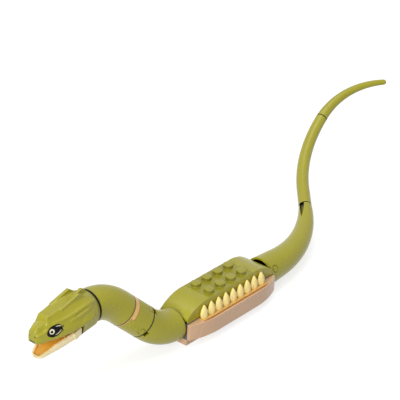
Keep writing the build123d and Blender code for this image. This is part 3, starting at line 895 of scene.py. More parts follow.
# ---- Places read from the frame ----
@dataclass(frozen=True)
class Layout:
    """Places of the frame's solids and joints, in millimetres."""

    joints: dict[str, tuple[Vector, Vector]]
    gap: float = 0.3

    @classmethod
    def read(cls, joints: list[dict]) -> Layout:
        """Read the joints of the loaded frame."""
        return cls({j["name"]: (Vector(j["pos_m"]) / MM, Vector(j["axis"]).normalized()) for j in joints})

    def face(self, joint: str, side: int) -> Seam:
        """Face across a swivel's gap, on the child's side (1) or on the parent's side (-1)."""
        place, axis = self.joints[joint]
        return Seam(place + axis * (side * self.gap / 2), axis.orthogonal().normalized(), axis)

    def box(self, node: str) -> tuple[Vector, Vector]:
        """Lowest and highest corner of a solid."""
        low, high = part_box(node)
        return Vector(low) / MM, Vector(high) / MM


SIDES = {"left": 1, "right": -1}


# ---- Body ----
@dataclass
class Body:
    """Brick body: belly plate, back plates, slopes, toothed plates and side hulls."""

    workshop: Workshop
    layout: Layout
    pitch: float = 8.0
    plate: float = 3.2
    stud_radius: float = 2.4
    stud_height: float = 1.7
    stud_root: float = 0.4
    wall: float = 1.5
    pocket: float = 1.8
    edge: float = 0.22
    belly_skin: float = 1.2
    tube_radius: float = 3.25
    socket_radius: float = 2.45
    socket_fit: float = 0.1
    slope_flat: float = 2.0
    slope_lip: float = 1.4
    slope_pocket: float = 1.1
    skirt: float = 1.15
    skirt_proud: float = 0.04
    arc_steps: int = 28
    teeth_per_plate: int = 3
    tooth_root: float = 1.2
    tooth_rise: float = 6.35
    tooth_width: float = 5.1
    tooth_thick: float = 2.4
    tooth_offset: float = 1.6
    tooth_lean: float = 0.75
    tooth_rib: float = 0.22
    tooth_levels: int = 22
    tooth_steps: int = 28
    tooth_base_shade: float = 0.8
    hull_end: float = 1.7
    hull_flat: float = 14.0
    hull_groove: float = 1.3
    hull_groove_depth: float = 0.9
    hull_wall: float = 0.6

    # Share of a tooth's height, of its width and of its thickness.
    TOOTH_SHAPE = (
        (0.0, 0.30, 0.55), (0.12, 0.62, 0.84), (0.26, 0.92, 1.0), (0.38, 1.0, 1.0), (0.55, 0.92, 0.94),
        (0.72, 0.68, 0.8), (0.86, 0.40, 0.58), (0.95, 0.19, 0.36), (1.0, 0.05, 0.12),
    )
    # Height above the plate, then painted shade.
    STUD_SHADE = ((-0.1, 0.2), (0.1, 0.22), (0.2, 0.5), (1.4, 0.38), (1.65, 0.12), (1.8, 0.12))
    SIDEWAYS = Seam(Vector((0, 0, 0)), Vector((1, 0, 0)), Vector((0, -1, 0)))

    def build(self) -> None:
        """Make every piece of the body."""
        self.belly()
        for name, node in (("upper_back", "studded_back_plate"), ("under_back", "lower_back_plate")):
            self.back_plate(name, node)
        self.slope("front_back_slope", "front_slope", 1)
        self.slope("rear_back_slope", "rear_slope", -1)
        for side_name, side in SIDES.items():
            for place in ("rear", "middle", "front"):
                self.tooth_plate(side_name, side, place)
            self.hull(side_name, side)

    def studs(self, xs: Sequence[float], ys: Sequence[float], level: float) -> Moulding:
        """Studs on a level, sunk a little into the plate under them.

        Args:
            xs: places of their columns.
            ys: places of their rows.
            level: height they stand on.

        Returns:
            The studs.
        """
        shape = Moulding()
        radius, height = self.stud_radius, self.stud_height
        profile = [(0.0, -self.stud_root), (radius, -self.stud_root), (radius, height), (0.0, height)]
        for x in xs:
            for y in ys:
                shape.lathe(Seam(Vector((x, y, level)), UP.x, UP.z), profile, steps=48)
        return shape

    def columns(self, low: float, high: float) -> list[float]:
        """Middles of the stud columns between two ends."""
        count = round((high - low) / self.pitch)
        return [low + (step + 0.5) * self.pitch for step in range(count)]

    def belly(self) -> None:
        """Belly plate, open below round a row of tubes."""
        low, high = self.layout.box("belly_plate")
        top = low.z + self.plate
        shape = Moulding().box(low, (high.x, high.y, top))
        inside = (low.x + self.wall, low.y + self.wall, low.z - 1.0)
        shape.combine(Moulding().box(inside, (-inside[0], -inside[1], top - self.belly_skin)), Joining.CUT)
        tubes = Moulding()
        for x in self.columns(low.x, high.x)[:-1]:
            seam = Seam(Vector((x + self.pitch / 2, 0, low.z)), UP.x, UP.z)
            height = top - self.belly_skin + 0.3
            profile = [(self.socket_radius, 0.0), (self.tube_radius, 0.0), (self.tube_radius, height)]
            tubes.lathe(seam, profile + [(self.socket_radius, height)], steps=40, loop=True)
        shape.combine(tubes, Joining.JOIN)
        shape.soften(self.edge)
        self.workshop.make("belly_tray", shape, TAN, "body", ["belly_plate"])

    def back_plate(self, name: str, node: str) -> None:
        """Plate with two rows of studs, hollow below.

        Args:
            name: the piece's name.
            node: the solid that it stands for.
        """
        low, high = self.layout.box(node)
        top = low.z + self.plate
        drop = self.skirt if name == "under_back" else 0.0
        proud = self.skirt_proud if drop else 0.0
        shape = Moulding().box((low.x, low.y - proud, low.z - drop), (high.x, high.y + proud, top))
        rows = [-self.pitch / 2, self.pitch / 2]
        shape.combine(self.studs(self.columns(low.x, high.x), rows, top), Joining.JOIN)
        inside = (low.x + self.wall, low.y + self.wall, low.z - 2.0)
        shape.combine(Moulding().box(inside, (-inside[0], -inside[1], low.z + self.pocket)), Joining.CUT)
        shape.soften(self.edge)

        def shade(point: Vector) -> float:
            """Painted shade between and on the studs, from a plate's top up to theirs."""
            beside = -0.1 <= point.z - top <= self.stud_height + 0.1
            return eased(self.STUD_SHADE, point.z - top)[0] if beside else 0.0

        self.workshop.make(name, shape, OLIVE, "body", [node], shade)

    def slope(self, name: str, node: str, end: int) -> None:
        """Curved slope from the flat of the back to one end of the body.

        Args:
            name: the piece's name.
            node: the solid that it stands for.
            end: 1 at the front and -1 at the rear.
        """
        low, high = self.layout.box(node)
        inner, outer = (low.x, high.x) if end > 0 else (high.x, low.x)
        start = inner + end * self.slope_flat
        run, fall = abs(outer - start), high.z - low.z - self.slope_lip
        radius = (run**2 + fall**2) / (2 * fall)
        sweep = math.asin(run / radius)
        low_edge = low.z - self.skirt
        outline = [(inner, high.z), (inner, low_edge), (outer, low_edge)]
        for turn in spread(sweep, 0.0, self.arc_steps):
            outline.append((start + end * radius * math.sin(turn), high.z - radius * (1 - math.cos(turn))))
        shape = Moulding().prism(self.SIDEWAYS, outline, low.y - self.skirt_proud, high.y + self.skirt_proud)
        near, far = sorted((inner + end * self.wall, outer - end * self.wall))
        deepest = (far, high.y - self.wall, low.z + self.slope_pocket)
        shape.combine(Moulding().box((near, low.y + self.wall, low.z - 2), deepest), Joining.CUT)
        shape.soften(self.edge)
        self.workshop.make(name, shape, OLIVE, "body", [node])

    def tooth(self, shape: Moulding, x: float, side: int, level: float, skin: float) -> None:
        """Add one leaf-shaped tooth with a faint rib down its middle.

        Args:
            shape: mouldings to add it to.
            x: its middle along the body.
            side: 1 on the left and -1 on the right.
            level: height of the edge it stands on.
            skin: distance of the plate's inner face from the middle.
        """
        rings = []
        for share in spread(0.0, 1.0, self.tooth_levels):
            wide, thick = eased(self.TOOTH_SHAPE, share)
            out = skin + self.tooth_offset - self.tooth_lean * share
            up = level - self.tooth_root + (self.tooth_root + self.tooth_rise) * share
            ring = []
            for step in range(self.tooth_steps):
                turn = 2 * math.pi * step / self.tooth_steps
                rib = 1 + self.tooth_rib * abs(math.sin(turn)) ** 12
                across = self.tooth_width / 2 * wide * math.cos(turn)
                proud = self.tooth_thick / 2 * thick * math.sin(turn) * rib
                ring.append(Vector((x + across, side * (out + proud), up)))
            rings.append(ring)
        shape.skin(rings)

    def tooth_plate(self, side_name: str, side: int, place: str) -> None:
        """Plate on the body's side with three teeth on its upper edge.

        Args:
            side_name: left or right.
            side: 1 on the left and -1 on the right.
            place: rear, middle or front.
        """
        node = f"tooth_plate_{side_name}_{place}"
        low, high = self.layout.box(node)
        skin = min(abs(low.y), abs(high.y))
        top = low.z + self.pitch
        across = sorted((side * skin, side * (skin + self.plate)))
        shape = Moulding().box((low.x, across[0], low.z), (high.x, across[1], top))
        near, far = sorted((side * (skin - 1), side * (skin + self.pocket)))
        lowest = (low.x + self.wall, near, low.z + self.wall)
        shape.combine(Moulding().box(lowest, (high.x - self.wall, far, top - self.wall)), Joining.CUT)
        shape.soften(self.edge)
        teeth = Moulding()
        step = (high.x - low.x) / self.teeth_per_plate
        for count in range(self.teeth_per_plate):
            self.tooth(teeth, low.x + (count + 0.5) * step, side, top, skin)
        shape.combine(teeth, Joining.JOIN)

        def shade(point: Vector) -> float:
            """Painted shade on the plate under the teeth."""
            return self.tooth_base_shade if point.z < top + 0.1 else 0.0

        self.workshop.make(f"tooth_row_{side_name}_{place}", shape, IVORY, "body", [node], shade)

    def hull(self, side_name: str, side: int) -> None:
        """Curved side panel with a groove in its top edge beside the toothed plates.

        Args:
            side_name: left or right.
            side: 1 on the left and -1 on the right.
        """
        node = f"hull_panel_{side_name}"
        low, high = self.layout.box(node)
        skin = min(abs(low.y), abs(high.y))
        outer = max(abs(low.y), abs(high.y))
        step = 3 * self.pitch + 0.1
        bulge = outer - skin - self.hull_end
        run = high.x - self.hull_flat
        radius = (run**2 + bulge**2) / (2 * bulge)
        sweep = math.asin(run / radius)
        curve = [
            (self.hull_flat + radius * math.sin(turn), outer - radius * (1 - math.cos(turn)))
            for turn in spread(0.0, sweep, self.arc_steps)
        ]
        right = curve + [(high.x, skin), (step, skin), (step, skin + self.plate)]
        outline = right + [(-x, y) for x, y in reversed(right)]
        shape = Moulding().prism(UP, [(x, side * y) for x, y in outline], low.z, high.z)
        inside = skin + self.plate - 1

        def groove_edge(x: float) -> float:
            """Distance from the body's middle plane to the groove's outer edge, inside the curved wall."""
            wall = outer - radius + math.sqrt(radius**2 - max(abs(x) - self.hull_flat, 0.0) ** 2)
            return max(inside + 0.1, min(inside + 1 + self.hull_groove, wall - self.hull_wall))

        groove = [(-step, inside), (step, inside)]
        groove += [(x, groove_edge(x)) for x in spread(step, -step, 4 * self.arc_steps)]
        bottom = high.z - self.hull_groove_depth
        cut = Moulding().prism(UP, [(x, side * y) for x, y in groove], bottom, high.z + 1)
        socket, deep = self.stud_radius + self.socket_fit, self.pocket + 1
        for end in (-1, 1):
            place = Vector((end * (high.x - self.pitch / 2), side * (skin - 1), low.z + self.pitch / 2))
            seam = Seam(place, UP.x, Vector((0, side, 0)))
            cut.lathe(seam, [(0.0, 0.0), (socket, 0.0), (socket, deep), (0.0, deep)])
        shape.combine(cut, Joining.CUT)
        shape.soften(self.edge)

        def shade(point: Vector) -> float:
            """Painted shade: 1 in the groove and 0 elsewhere."""
            beside = abs(point.x) < step + 0.05 and abs(point.y) < groove_edge(point.x) - 0.1
            return 1.0 if beside and high.z - 1.2 * self.hull_groove_depth < point.z < high.z - 0.1 else 0.0

        self.workshop.make(f"side_hull_{side_name}", shape, TAN, "body", [node], shade)


# ---- Neck ----
@dataclass
class Neck:
    """Two bent tubes with a round brick and a notched ring between them."""

    workshop: Workshop
    layout: Layout
    radius: float = 8.0
    brick_height: float = 9.6
    ring_height: float = 3.2
    edge: float = 0.16
    bore: float = 2.45
    seat: float = 3.15
    seat_depth: float = 0.85
    slot_turns: tuple[int, ...] = (38, 128, 218, 308)
    slot_width: float = 2.8
    slot_length: float = 1.9
    slot_depth: float = 2.9
    window_width: float = 3.4
    window_start: float = 0.7
    window_length: float = 2.3
    window_depth: float = 0.3
    window_line: float = 0.24
    rib_places: tuple[float, ...] = (4.6, 6.3, 8.0)
    rib_width: float = 0.35
    rib_proud: float = 0.12
    rib_root: float = 0.8
    rib_share: float = 0.8
    notches: tuple[tuple[float, float], ...] = ((26.0, 64.0), (250.0, 22.0))
    notch_rise: float = 2.4
    notch_depth: float = 0.8
    tab_fit: float = 0.07
    tab_sunk: float = 0.03
    wide_shade: float = 0.7
    thin_shade: float = 0.2
    drum_shade: float = 0.16
    ring_shade: float = 0.3
    end_row: float = 0.7

    # End that sits close on its neighbour.
    CLOSE = TubeEnd(groove=0.07, dip=0.15, edge=0.12)

    def build(self) -> None:
        """Make every piece of the neck."""
        first, last = self.layout.face("neck_base_swivel", 1), self.layout.face("neck_middle_swivel", -1)
        rear = Bend.between(first, last, straight_last=True)
        middle = self.layout.face("neck_middle_swivel", 1)
        front = Bend.between(
            middle.ahead(self.brick_height + self.ring_height), self.layout.face("head_swivel", -1)
        )
        brick = Seam(middle.origin, front.start.x, middle.z)
        self.rear_tube(rear, brick)
        shape = Moulding().tube(front, lambda run: self.radius, self.CLOSE, TubeEnd())
        shade = self.tube_shade(front, front=True)
        self.workshop.make("front_neck_tube", shape, OLIVE, "front_neck", ["neck_elbow_front"], shade)
        self.round_brick(brick)
        self.ring(brick.ahead(self.brick_height))

    def rear_tube(self, bend: Bend, brick: Seam) -> None:
        """Tube next to the body, with slots through its far rim.

        Args:
            bend: the tube's middle line.
            brick: the round brick's near face.
        """
        shape = Moulding().tube(bend, lambda run: self.radius, TubeEnd(), self.CLOSE)
        end = Seam(bend.at(bend.length).origin, brick.x, brick.z)
        slots = Moulding()
        for turn in self.slot_turns:
            reach = (self.radius - self.slot_depth, self.radius + 1)
            self.block(slots, end.turned(turn), self.slot_width, (-self.slot_length, 0.5), reach)
        shape.combine(slots, Joining.CUT)
        shape.soften(0.08, segments=2, angle=50)
        plain = self.tube_shade(bend)

        def shade(point: Vector) -> float:
            """Painted shade in the joints, the hollow ends and the slots."""
            out, along = from_axis(end, point)
            return 1.0 if along > -self.slot_length - 0.05 and out < self.radius - 0.04 else plain(point)

        self.workshop.make("rear_neck_tube", shape, OLIVE, "rear_neck", ["neck_elbow_rear"], shade)

    def tube_shade(self, bend: Bend, front: bool = False) -> Callable[[Vector], float]:
        """Painted shade at a tube's points in its joints and in its hollow ends.

        Args:
            bend: the tube's middle line.
            front: whether it is the tube in front of the ring.

        Returns:
            A function of a point.
        """
        first, last = bend.start, bend.at(bend.length)
        inward = Seam(last.origin, last.x, -last.z)
        outer, close = (last, first) if front else (first, last)
        shades = [painted_joint_shade([outer], self.wide_shade), painted_joint_shade([close], self.thin_shade)]
        for seam in (first, inward):
            shades.append(partial(TubeEnd().within, seam, self.radius))
        return lambda point: max(shade(point) for shade in shades)

    @staticmethod
    def block(
        shape: Moulding, seam: Seam, width: float, along: tuple[float, float], out: tuple[float, float]
    ) -> None:
        """Add a block on a tube's side, at the seam's x."""
        shape.box((out[0], -width / 2, along[0]), (out[1], width / 2, along[1]), seam)

    @staticmethod
    def sector(
        shape: Moulding, seam: Seam, notch: tuple[float, float], out: tuple[float, float], rise: float
    ) -> None:
        """Add a piece of a ring between two radii, from just under the seam up to a rise.

        Args:
            shape: mouldings to add it to.
            seam: the face it stands on.
            notch: middle and width in degrees.
            out: inner and outer radius.
            rise: its height.
        """
        middle, width = notch
        turns = [math.radians(turn) for turn in spread(middle - width / 2, middle + width / 2, 24)]
        outline = [(out[1] * math.cos(turn), out[1] * math.sin(turn)) for turn in turns]
        outline += [(out[0] * math.cos(turn), out[0] * math.sin(turn)) for turn in reversed(turns)]
        shape.prism(seam, outline, -0.3, rise)

    def round_brick(self, seam: Seam) -> None:
        """Round brick with shallow windows, fine ribs and tabs that stand in the ring's notches.

        Args:
            seam: its near face.
        """
        height = self.brick_height
        corners = [(self.seat, 0.0), (self.radius, 0.0), (self.radius, self.end_row)]
        corners += [(self.radius, height - self.end_row), (self.radius, height), (self.bore, height)]
        corners += [(self.bore, self.seat_depth), (self.seat, self.seat_depth)]
        shape = Moulding().lathe(seam, rounded(corners, self.edge), steps=96, loop=True)
        ribs = Moulding()
        for turn in self.slot_turns:
            side = seam.turned(turn)
            reach = (self.radius - self.window_depth - 0.12, self.radius + 1)
            start, line = self.window_start, self.window_line
            frame = Moulding()
            self.block(frame, side, self.window_width, (start, start + self.window_length), reach)
            inner = Moulding()
            inside = (start + line, start + self.window_length - line)
            self.block(inner, side, self.window_width - 2 * line, inside, (reach[0] - 1, reach[1] + 1))
            frame.combine(inner, Joining.CUT)
            shape.combine(frame, Joining.CUT)
            for place in self.rib_places:
                along = (place - self.rib_width / 2, place + self.rib_width / 2)
                rib = (self.radius - self.rib_root, self.radius + self.rib_proud)
                self.block(ribs, side, self.window_width * self.rib_share, along, rib)
        shape.combine(ribs, Joining.JOIN)
        tabs = Moulding()
        across = (self.radius - self.notch_depth + self.tab_fit, self.radius - self.tab_sunk)
        slack = 2 * math.degrees(self.tab_fit / self.radius)
        for middle, width in self.notches:
            notch = (middle, width - slack)
            self.sector(tabs, seam.ahead(height), notch, across, self.notch_rise - self.tab_fit)
        shape.combine(tabs, Joining.JOIN)
        shape.soften(0.07, segments=2, angle=50)
        joints = painted_joint_shade([seam, seam.ahead(height)], self.drum_shade)

        def shade(point: Vector) -> float:
            """Painted shade in the joints, and in the windows' outlines.

            Args:
                point: the place.

            Returns:
                The painted shade.
            """
            out, along = from_axis(seam, point)
            sunk = 0.3 < along < height - 0.3 and out < self.radius - 0.12
            return 1.0 if sunk else (joints(point) if along < height - 0.1 else 0.0)

        self.workshop.make("neck_drum", shape, OLIVE, "front_neck", ["neck_round_brick"], shade)

    def ring(self, seam: Seam) -> None:
        """Ring with notches on its side towards the round brick.

        Args:
            seam: its near face.
        """
        height = self.ring_height
        corners = [(self.bore, 0.0), (self.radius, 0.0), (self.radius, self.end_row)]
        corners += [(self.radius, height - self.end_row), (self.radius, height), (self.bore, height)]
        shape = Moulding().lathe(seam, rounded(corners, self.edge), steps=96, loop=True)
        cuts = Moulding()
        for notch in self.notches:
            self.sector(cuts, seam, notch, (self.radius - self.notch_depth, self.radius + 1), self.notch_rise)
        shape.combine(cuts, Joining.CUT)
        shape.soften(0.07, segments=2, angle=50)
        # Painted shade in the ring's two joints.
        joints = painted_joint_shade([seam, seam.ahead(height)], self.ring_shade)
        self.workshop.make("neck_band", shape, LIGHT_TAN, "front_neck", ["neck_ring"], joints)


# ---- Tail ----
@dataclass
class Tail:
    """Three tapering bent pieces."""

    workshop: Workshop
    layout: Layout
    root_radius: float = 8.0
    waist_radius: float = 3.4
    thin_radius: float = 3.0
    point_radius: float = 1.45
    root_ease: float = 1.15
    tip_rest: float = 43.7
    tip_bend: float = 54.0
    tip_turn: float = 51.0
    slit_length: float = 11.5
    slit_width: float = 2.9
    slit_end: float = 0.5
    slit_turn: float = 35.0
    slit_floor: float = 2.3
    slit_skin: float = 0.35
    slit_dark: float = 7.0
    faint: float = 0.12
    mark_turn: float = 62.5
    mark_run: float = 3.5
    mark_radius: float = 1.45
    mark_ring: float = 0.6
    mark_sunk: float = 0.12

    # Ends of the thinner pieces, and the deep hollow behind the body.
    SLIM = TubeEnd(
        recess=0.0, bore=1.65, bore_depth=7.2, seat=2.15, seat_depth=0.55, edge=0.1, groove=0.04, dip=0.12
    )
    FINE = TubeEnd(
        recess=0.0, bore=1.35, bore_depth=6.2, seat=1.85, seat_depth=0.55, edge=0.1, groove=0.04, dip=0.12
    )
    ROOT = TubeEnd(recess=10.0, hub=4.2)

    def build(self) -> None:
        """Make the three pieces."""
        face = self.layout.face
        self.root_piece(Bend.between(face("tail_base_swivel", 1), face("tail_middle_swivel", -1)))
        middle = Bend.between(face("tail_middle_swivel", 1), face("tail_tip_swivel", -1))
        girth = self.taper(self.waist_radius, self.thin_radius, middle.length)
        shape = Moulding().tube(middle, girth, self.SLIM, self.FINE, 44, 56)
        end = middle.at(middle.length)
        # Painted shade, faint, in the joints of the middle piece and the tip.
        joints = painted_joint_shade([middle.start, end], self.faint)
        self.workshop.make("tail_middle_tube", shape, OLIVE, "tail_mid", ["tail_middle"], joints)
        start = Seam(face("tail_tip_swivel", 1).origin, end.x, end.z)
        tip = Bend(start.turned(self.tip_rest), 0.0, self.tip_bend, self.tip_turn, 0.0)
        girth = self.taper(self.thin_radius, self.point_radius, tip.length)
        shape = Moulding().tube(tip, girth, self.FINE, None, 44, 48)
        joints = painted_joint_shade([tip.start], self.faint)
        self.workshop.make("tail_tip_tube", shape, OLIVE, "tail_end", ["tail_tip"], joints)

    @staticmethod
    def taper(first: float, last: float, length: float, ease: float = 1.0) -> Callable[[float], float]:
        """Radius along a piece that thins from its first radius to its last."""
        return lambda run: first + (last - first) * (run / length) ** ease

    def root_piece(self, bend: Bend) -> None:
        """Piece behind the body: a deep hollow at its root and a slit at its far end.

        Args:
            bend: its middle line.
        """
        girth = self.taper(self.root_radius, self.waist_radius, bend.length, self.root_ease)
        shape = Moulding().tube(bend, girth, self.ROOT, self.SLIM, 64, 80)
        end = bend.at(bend.length)
        flat = Seam(end.origin, -end.z, end.turned(self.slit_turn).x)
        half, middle = self.slit_width / 2, self.slit_length * 0.45
        side = [(-1.0, half), (middle, half * 0.8), (self.slit_length, self.slit_end / 2)]
        outline = rounded(mirrored(side), 0.4)
        shape.combine(Moulding().prism(flat, outline, self.slit_floor, self.root_radius), Joining.CUT)
        marks = self.mark(shape, bend)
        shape.soften(0.08, segments=2, angle=50)
        joints = painted_joint_shade([end], self.faint)

        def shade(point: Vector) -> float:
            """Painted shade in the slit, round the marks, in the far joint and in the root's hollow."""
            sunk = self.in_slit(end, flat, point) or any(self.beside_mark(seam, point) for seam in marks)
            return 1.0 if sunk else max(joints(point), self.ROOT.within(bend.start, self.root_radius, point))

        self.workshop.make("tail_root_tube", shape, OLIVE, "tail_root", ["tail_base"], shade)

    def in_slit(self, end: Seam, flat: Seam, point: Vector) -> bool:
        """Whether a point lies on the slit's walls or floor.

        Args:
            end: the piece's far end.
            flat: the seam that the slit's outline is drawn across.
            point: the place.

        Returns:
            Whether it is in the slit.
        """
        offset = point - end.origin
        out, along = from_axis(end, point)
        under = offset.dot(flat.z) > 1.5 and abs(offset.dot(flat.y)) < self.slit_width
        return under and out < self.waist_radius - self.slit_skin and -along < self.slit_dark

    def beside_mark(self, seam: Seam, point: Vector) -> bool:
        """Whether a point lies in the ring between a mark's disc and its recess.

        Args:
            seam: the mark's place, looking out.
            point: the place.

        Returns:
            Whether it is in the ring.
        """
        out, along = from_axis(seam, point)
        return abs(out - self.mark_radius - 0.3) < 0.28 and -1.3 < along < 0.1

    def mark(self, shape: Moulding, bend: Bend) -> list[Seam]:
        """Cut a round recess with a disc in it, left by a locking peg, on each side of the root.

        Args:
            shape: the piece.
            bend: its middle line.

        Returns:
            The marks' places, looking out.
        """
        seams = []
        for side in (-1, 1):
            turn = math.radians(self.mark_turn)
            out = Vector((0, side * math.sin(turn), math.cos(turn)))
            run = bend.at(self.mark_run)
            place = run.origin + out * self.root_radius
            seam = Seam(place, run.z, out)
            seams.append(seam)
            edge, brim = self.mark_radius, self.mark_radius + self.mark_ring
            recess = [(0.0, -0.9), (brim, -0.9), (brim, 1.5), (0.0, 1.5)]
            disc = [(0.0, -1.2), (edge, -1.2), (edge, -self.mark_sunk), (0.0, -self.mark_sunk)]
            shape.combine(Moulding().lathe(seam, recess, steps=40), Joining.CUT)
            shape.combine(Moulding().lathe(seam, disc, steps=40), Joining.JOIN)
        return seams


# ---- Head ----
class Facing(Enum):
    """Side of the head that a crease lies on."""

    TOP = "top"
    SIDE = "side"


@dataclass(frozen=True)
class Crease:
    """A ridge, or with a negative height a groove, along a line on the head.

    The line's points give the distance ahead of the collar, and the height on a side or the
    distance from the middle on top.
    """

    facing: Facing
    line: tuple[tuple[float, float], ...]
    height: float
    width: float

    def rise(self, ahead: float, up: float, out: float, upward: float, sideways: float) -> float:
        """How far the crease lifts the skin at a place.

        Args:
            ahead: distance ahead of the collar.
            up: height above the neck's middle.
            out: distance from the head's middle.
            upward: how far the skin faces up, from -1 to 1.
            sideways: how far it faces out, from 0 to 1.

        Returns:
            The lift in millimetres.
        """
        on_side = self.facing is Facing.SIDE
        facing = sideways if on_side else upward
        if facing < 0.2:
            return 0.0
        here = Vector((ahead, up if on_side else out))
        nearest = 1e9
        for first, last in zip(self.line, self.line[1:]):
            start, run = Vector(first), Vector(last) - Vector(first)
            share = min(max((here - start).dot(run) / run.length_squared, 0.0), 1.0)
            nearest = min(nearest, (here - start - run * share).length)
        if nearest > 2.5 * self.width:
            return 0.0
        return self.height * math.exp(-((nearest / self.width) ** 2)) * min((facing - 0.2) / 0.3, 1.0)


@dataclass
class Head:
    """Upper head with a twin crest and printed eyes, its palate and the hinged lower jaw."""

    workshop: Workshop
    layout: Layout
    collar_radius: float = 8.2
    collar_length: float = 2.4
    pin_bore: float = 2.45
    pin_depth: float = 8.0
    pin_seat: float = 3.15
    pin_seat_depth: float = 0.85
    edge: float = 0.15
    groove: float = 0.34
    groove_dip: float = 0.8
    mouth_corner: float = 11.0
    mouth_drop: float = 0.9
    mouth_rise: float = -3.0
    grid: float = 0.27
    stations: int = 70
    lip_thick: float = 0.7
    fin_offset: float = 3.0
    fin_thick: float = 1.6
    hollow_start: float = 8.3
    hollow_end: float = 14.5
    hollow_top: float = -0.6
    hollow_half: float = 6.6
    hinge_ahead: float = 11.2
    hinge_drop: float = 3.0
    hinge_bore: float = 1.55
    slot_half: float = 7.95
    rim_rise: float = 1.9
    jaw_open: float = 16.3
    palate_start: float = 17.2
    palate_inset: float = 1.6
    palate_thick: float = 1.2
    upper_teeth: int = 7
    jaw_inset: float = 0.2
    jaw_wall: float = 1.15
    jaw_floor: float = 1.0
    jaw_depth: float = 4.5
    jaw_tip_depth: float = 3.6
    jaw_start: float = 3.2
    jaw_end: float = 23.2
    arm_half: float = 6.35
    arm_radius: float = 2.2
    arm_back: float = -0.2
    cheek_half: float = 8.75
    jaw_square: float = 0.32
    jaw_tip: float = 2.6
    trunnion_radius: float = 1.4
    trunnion_reach: float = 1.2
    lower_teeth: int = 8
    tooth_size: tuple[float, float] = (0.58, 1.5)
    fang_size: tuple[float, float] = (0.8, 2.4)
    nub_size: tuple[float, float] = (0.28, 0.22)
    tooth_lean: float = 0.35
    palate_end: float = 21.6
    fit: float = 0.25
    clear: float = 12.0
    collar_shade_reach: float = 0.32
    slot_back: float = 11.0
    slot_front: float = 12.4
    mouth_shade: float = 0.7
    nostril: tuple[float, float, float] = (34.2, 0.1, 1.5)
    seam: Seam = field(init=False)
    across: Seam = field(init=False)
    roof_seam: Seam = field(init=False)
    jaw_seam: Seam = field(init=False)

    # Distance ahead, then height and half width of the crest, the brow and the cheek, the
    # half width of the lip, and the dip between the two sides of the crest.
    SKULL = (
        (1.3, 8.2, 2.8, 5.9, 6.0, 0.0, 8.3, 8.0, 0.0),
        (5.0, 9.2, 3.0, 6.9, 6.8, 0.0, 9.2, 9.0, 0.3),
        (9.0, 9.9, 3.1, 6.7, 7.0, 0.0, 9.6, 9.4, 0.6),
        (15.0, 9.8, 3.0, 5.8, 6.8, 0.2, 9.2, 8.8, 0.5),
        (21.0, 8.9, 2.8, 4.8, 5.9, 0.4, 7.9, 7.4, 0.2),
        (25.8, 8.1, 2.5, 4.5, 4.9, 0.4, 6.3, 5.9, 0.1),
        (28.3, 7.6, 2.4, 4.2, 4.0, 0.2, 5.2, 4.9, 0.0),
        (29.3, 5.5, 2.0, 3.8, 3.6, 0.1, 4.8, 4.5, 0.0),
        (31.4, 4.5, 1.8, 2.9, 2.9, 0.0, 4.0, 3.7, 0.0),
        (33.2, 3.9, 1.6, 2.2, 2.4, -0.1, 3.3, 3.1, 0.0),
        (34.4, 2.4, 1.0, 1.4, 1.8, -0.2, 2.5, 2.3, 0.0),
    )
    # Distance ahead, then half width at the lip, and height and half width of side and underside.
    THROAT = ((1.5, 8.2, -5.0, 7.6, -8.5, 3.2), (12.4, 9.0, -6.0, 8.1, -8.6, 4.4))
    # Distance ahead, then how far the lip hangs below the mouth's roof.
    LIP_DROP = (
        (13.0, 0.1), (16.0, 0.4), (19.0, 0.8), (22.0, 1.1),
        (25.5, 1.3), (30.0, 1.4), (32.5, 1.6), (34.4, 1.2),
    )
    # Distance ahead of the hinge, then how far the jaw's rim drops.
    RIM_DROP = ((0.0, 0.0), (10.0, 0.0), (14.0, 0.15), (18.0, 1.3), (21.0, 1.7), (23.2, 1.9))
    # Distance ahead and height of the two fins of the crest, and of the spine between them.
    FIN = (
        (20.5, 8.9), (17.6, 9.7), (12.7, 11.0), (9.5, 11.96), (7.2, 10.4),
        (5.6, 9.2), (4.6, 8.6), (4.6, 7.2), (20.5, 7.2),
    )
    NAPE = ((9.5, 9.6), (7.0, 10.3), (4.7, 11.4), (3.2, 10.6), (2.2, 9.8), (1.5, 8.6), (1.5, 7.2), (9.5, 7.2))
    CREASES = (
        Crease(
            Facing.SIDE, ((1.6, 6.1), (5.0, 6.9), (9.0, 6.8), (15.0, 5.9), (21.0, 4.9), (26.0, 4.5)), 0.4, 0.6
        ),
        Crease(Facing.SIDE, ((6.5, 5.9), (11.0, 5.4), (14.5, 4.7)), -0.3, 0.45),
        Crease(Facing.SIDE, ((7.5, 5.0), (12.9, 4.3), (17.8, 3.4)), 0.35, 0.5),
        Crease(Facing.SIDE, ((3.6, 3.9), (8.5, 3.2), (12.0, 2.6)), -0.28, 0.5),
        Crease(Facing.SIDE, ((4.5, 1.6), (8.0, 0.8), (11.5, 1.0)), 0.25, 0.6),
        Crease(Facing.SIDE, ((13.0, -0.6), (19.0, -1.3), (26.0, -1.6), (32.0, -1.4)), 0.25, 0.8),
        Crease(Facing.SIDE, ((29.2, 2.6), (31.0, 1.2), (33.4, 0.8)), 0.35, 0.5),
        Crease(Facing.SIDE, ((30.6, 2.9), (32.4, 2.2), (33.8, 1.6)), -0.25, 0.4),
        Crease(Facing.TOP, ((20.0, 2.8), (25.8, 2.5), (28.2, 2.4)), 0.3, 0.6),
        Crease(Facing.TOP, ((29.2, 0.0), (29.2, 2.2)), -0.35, 0.5),
        Crease(Facing.TOP, ((30.0, 1.8), (33.2, 1.3)), 0.35, 0.5),
    )

    # Height and distance ahead of the collar, round the slot that each side of the jaw turns in.
    CHEEK_SLOT = ((-0.7, 11.2), (-0.7, 15.8), (-9.5, 15.8), (-9.5, 12.3), (-3.0, 11.3))
    # Height and distance ahead of the hinge, round the plate on each side of the jaw.
    CHEEK_PLATE = ((0.0, 1.05), (0.0, 6.0), (-3.2, 6.0), (-3.2, 3.2), (-2.5, 1.8))
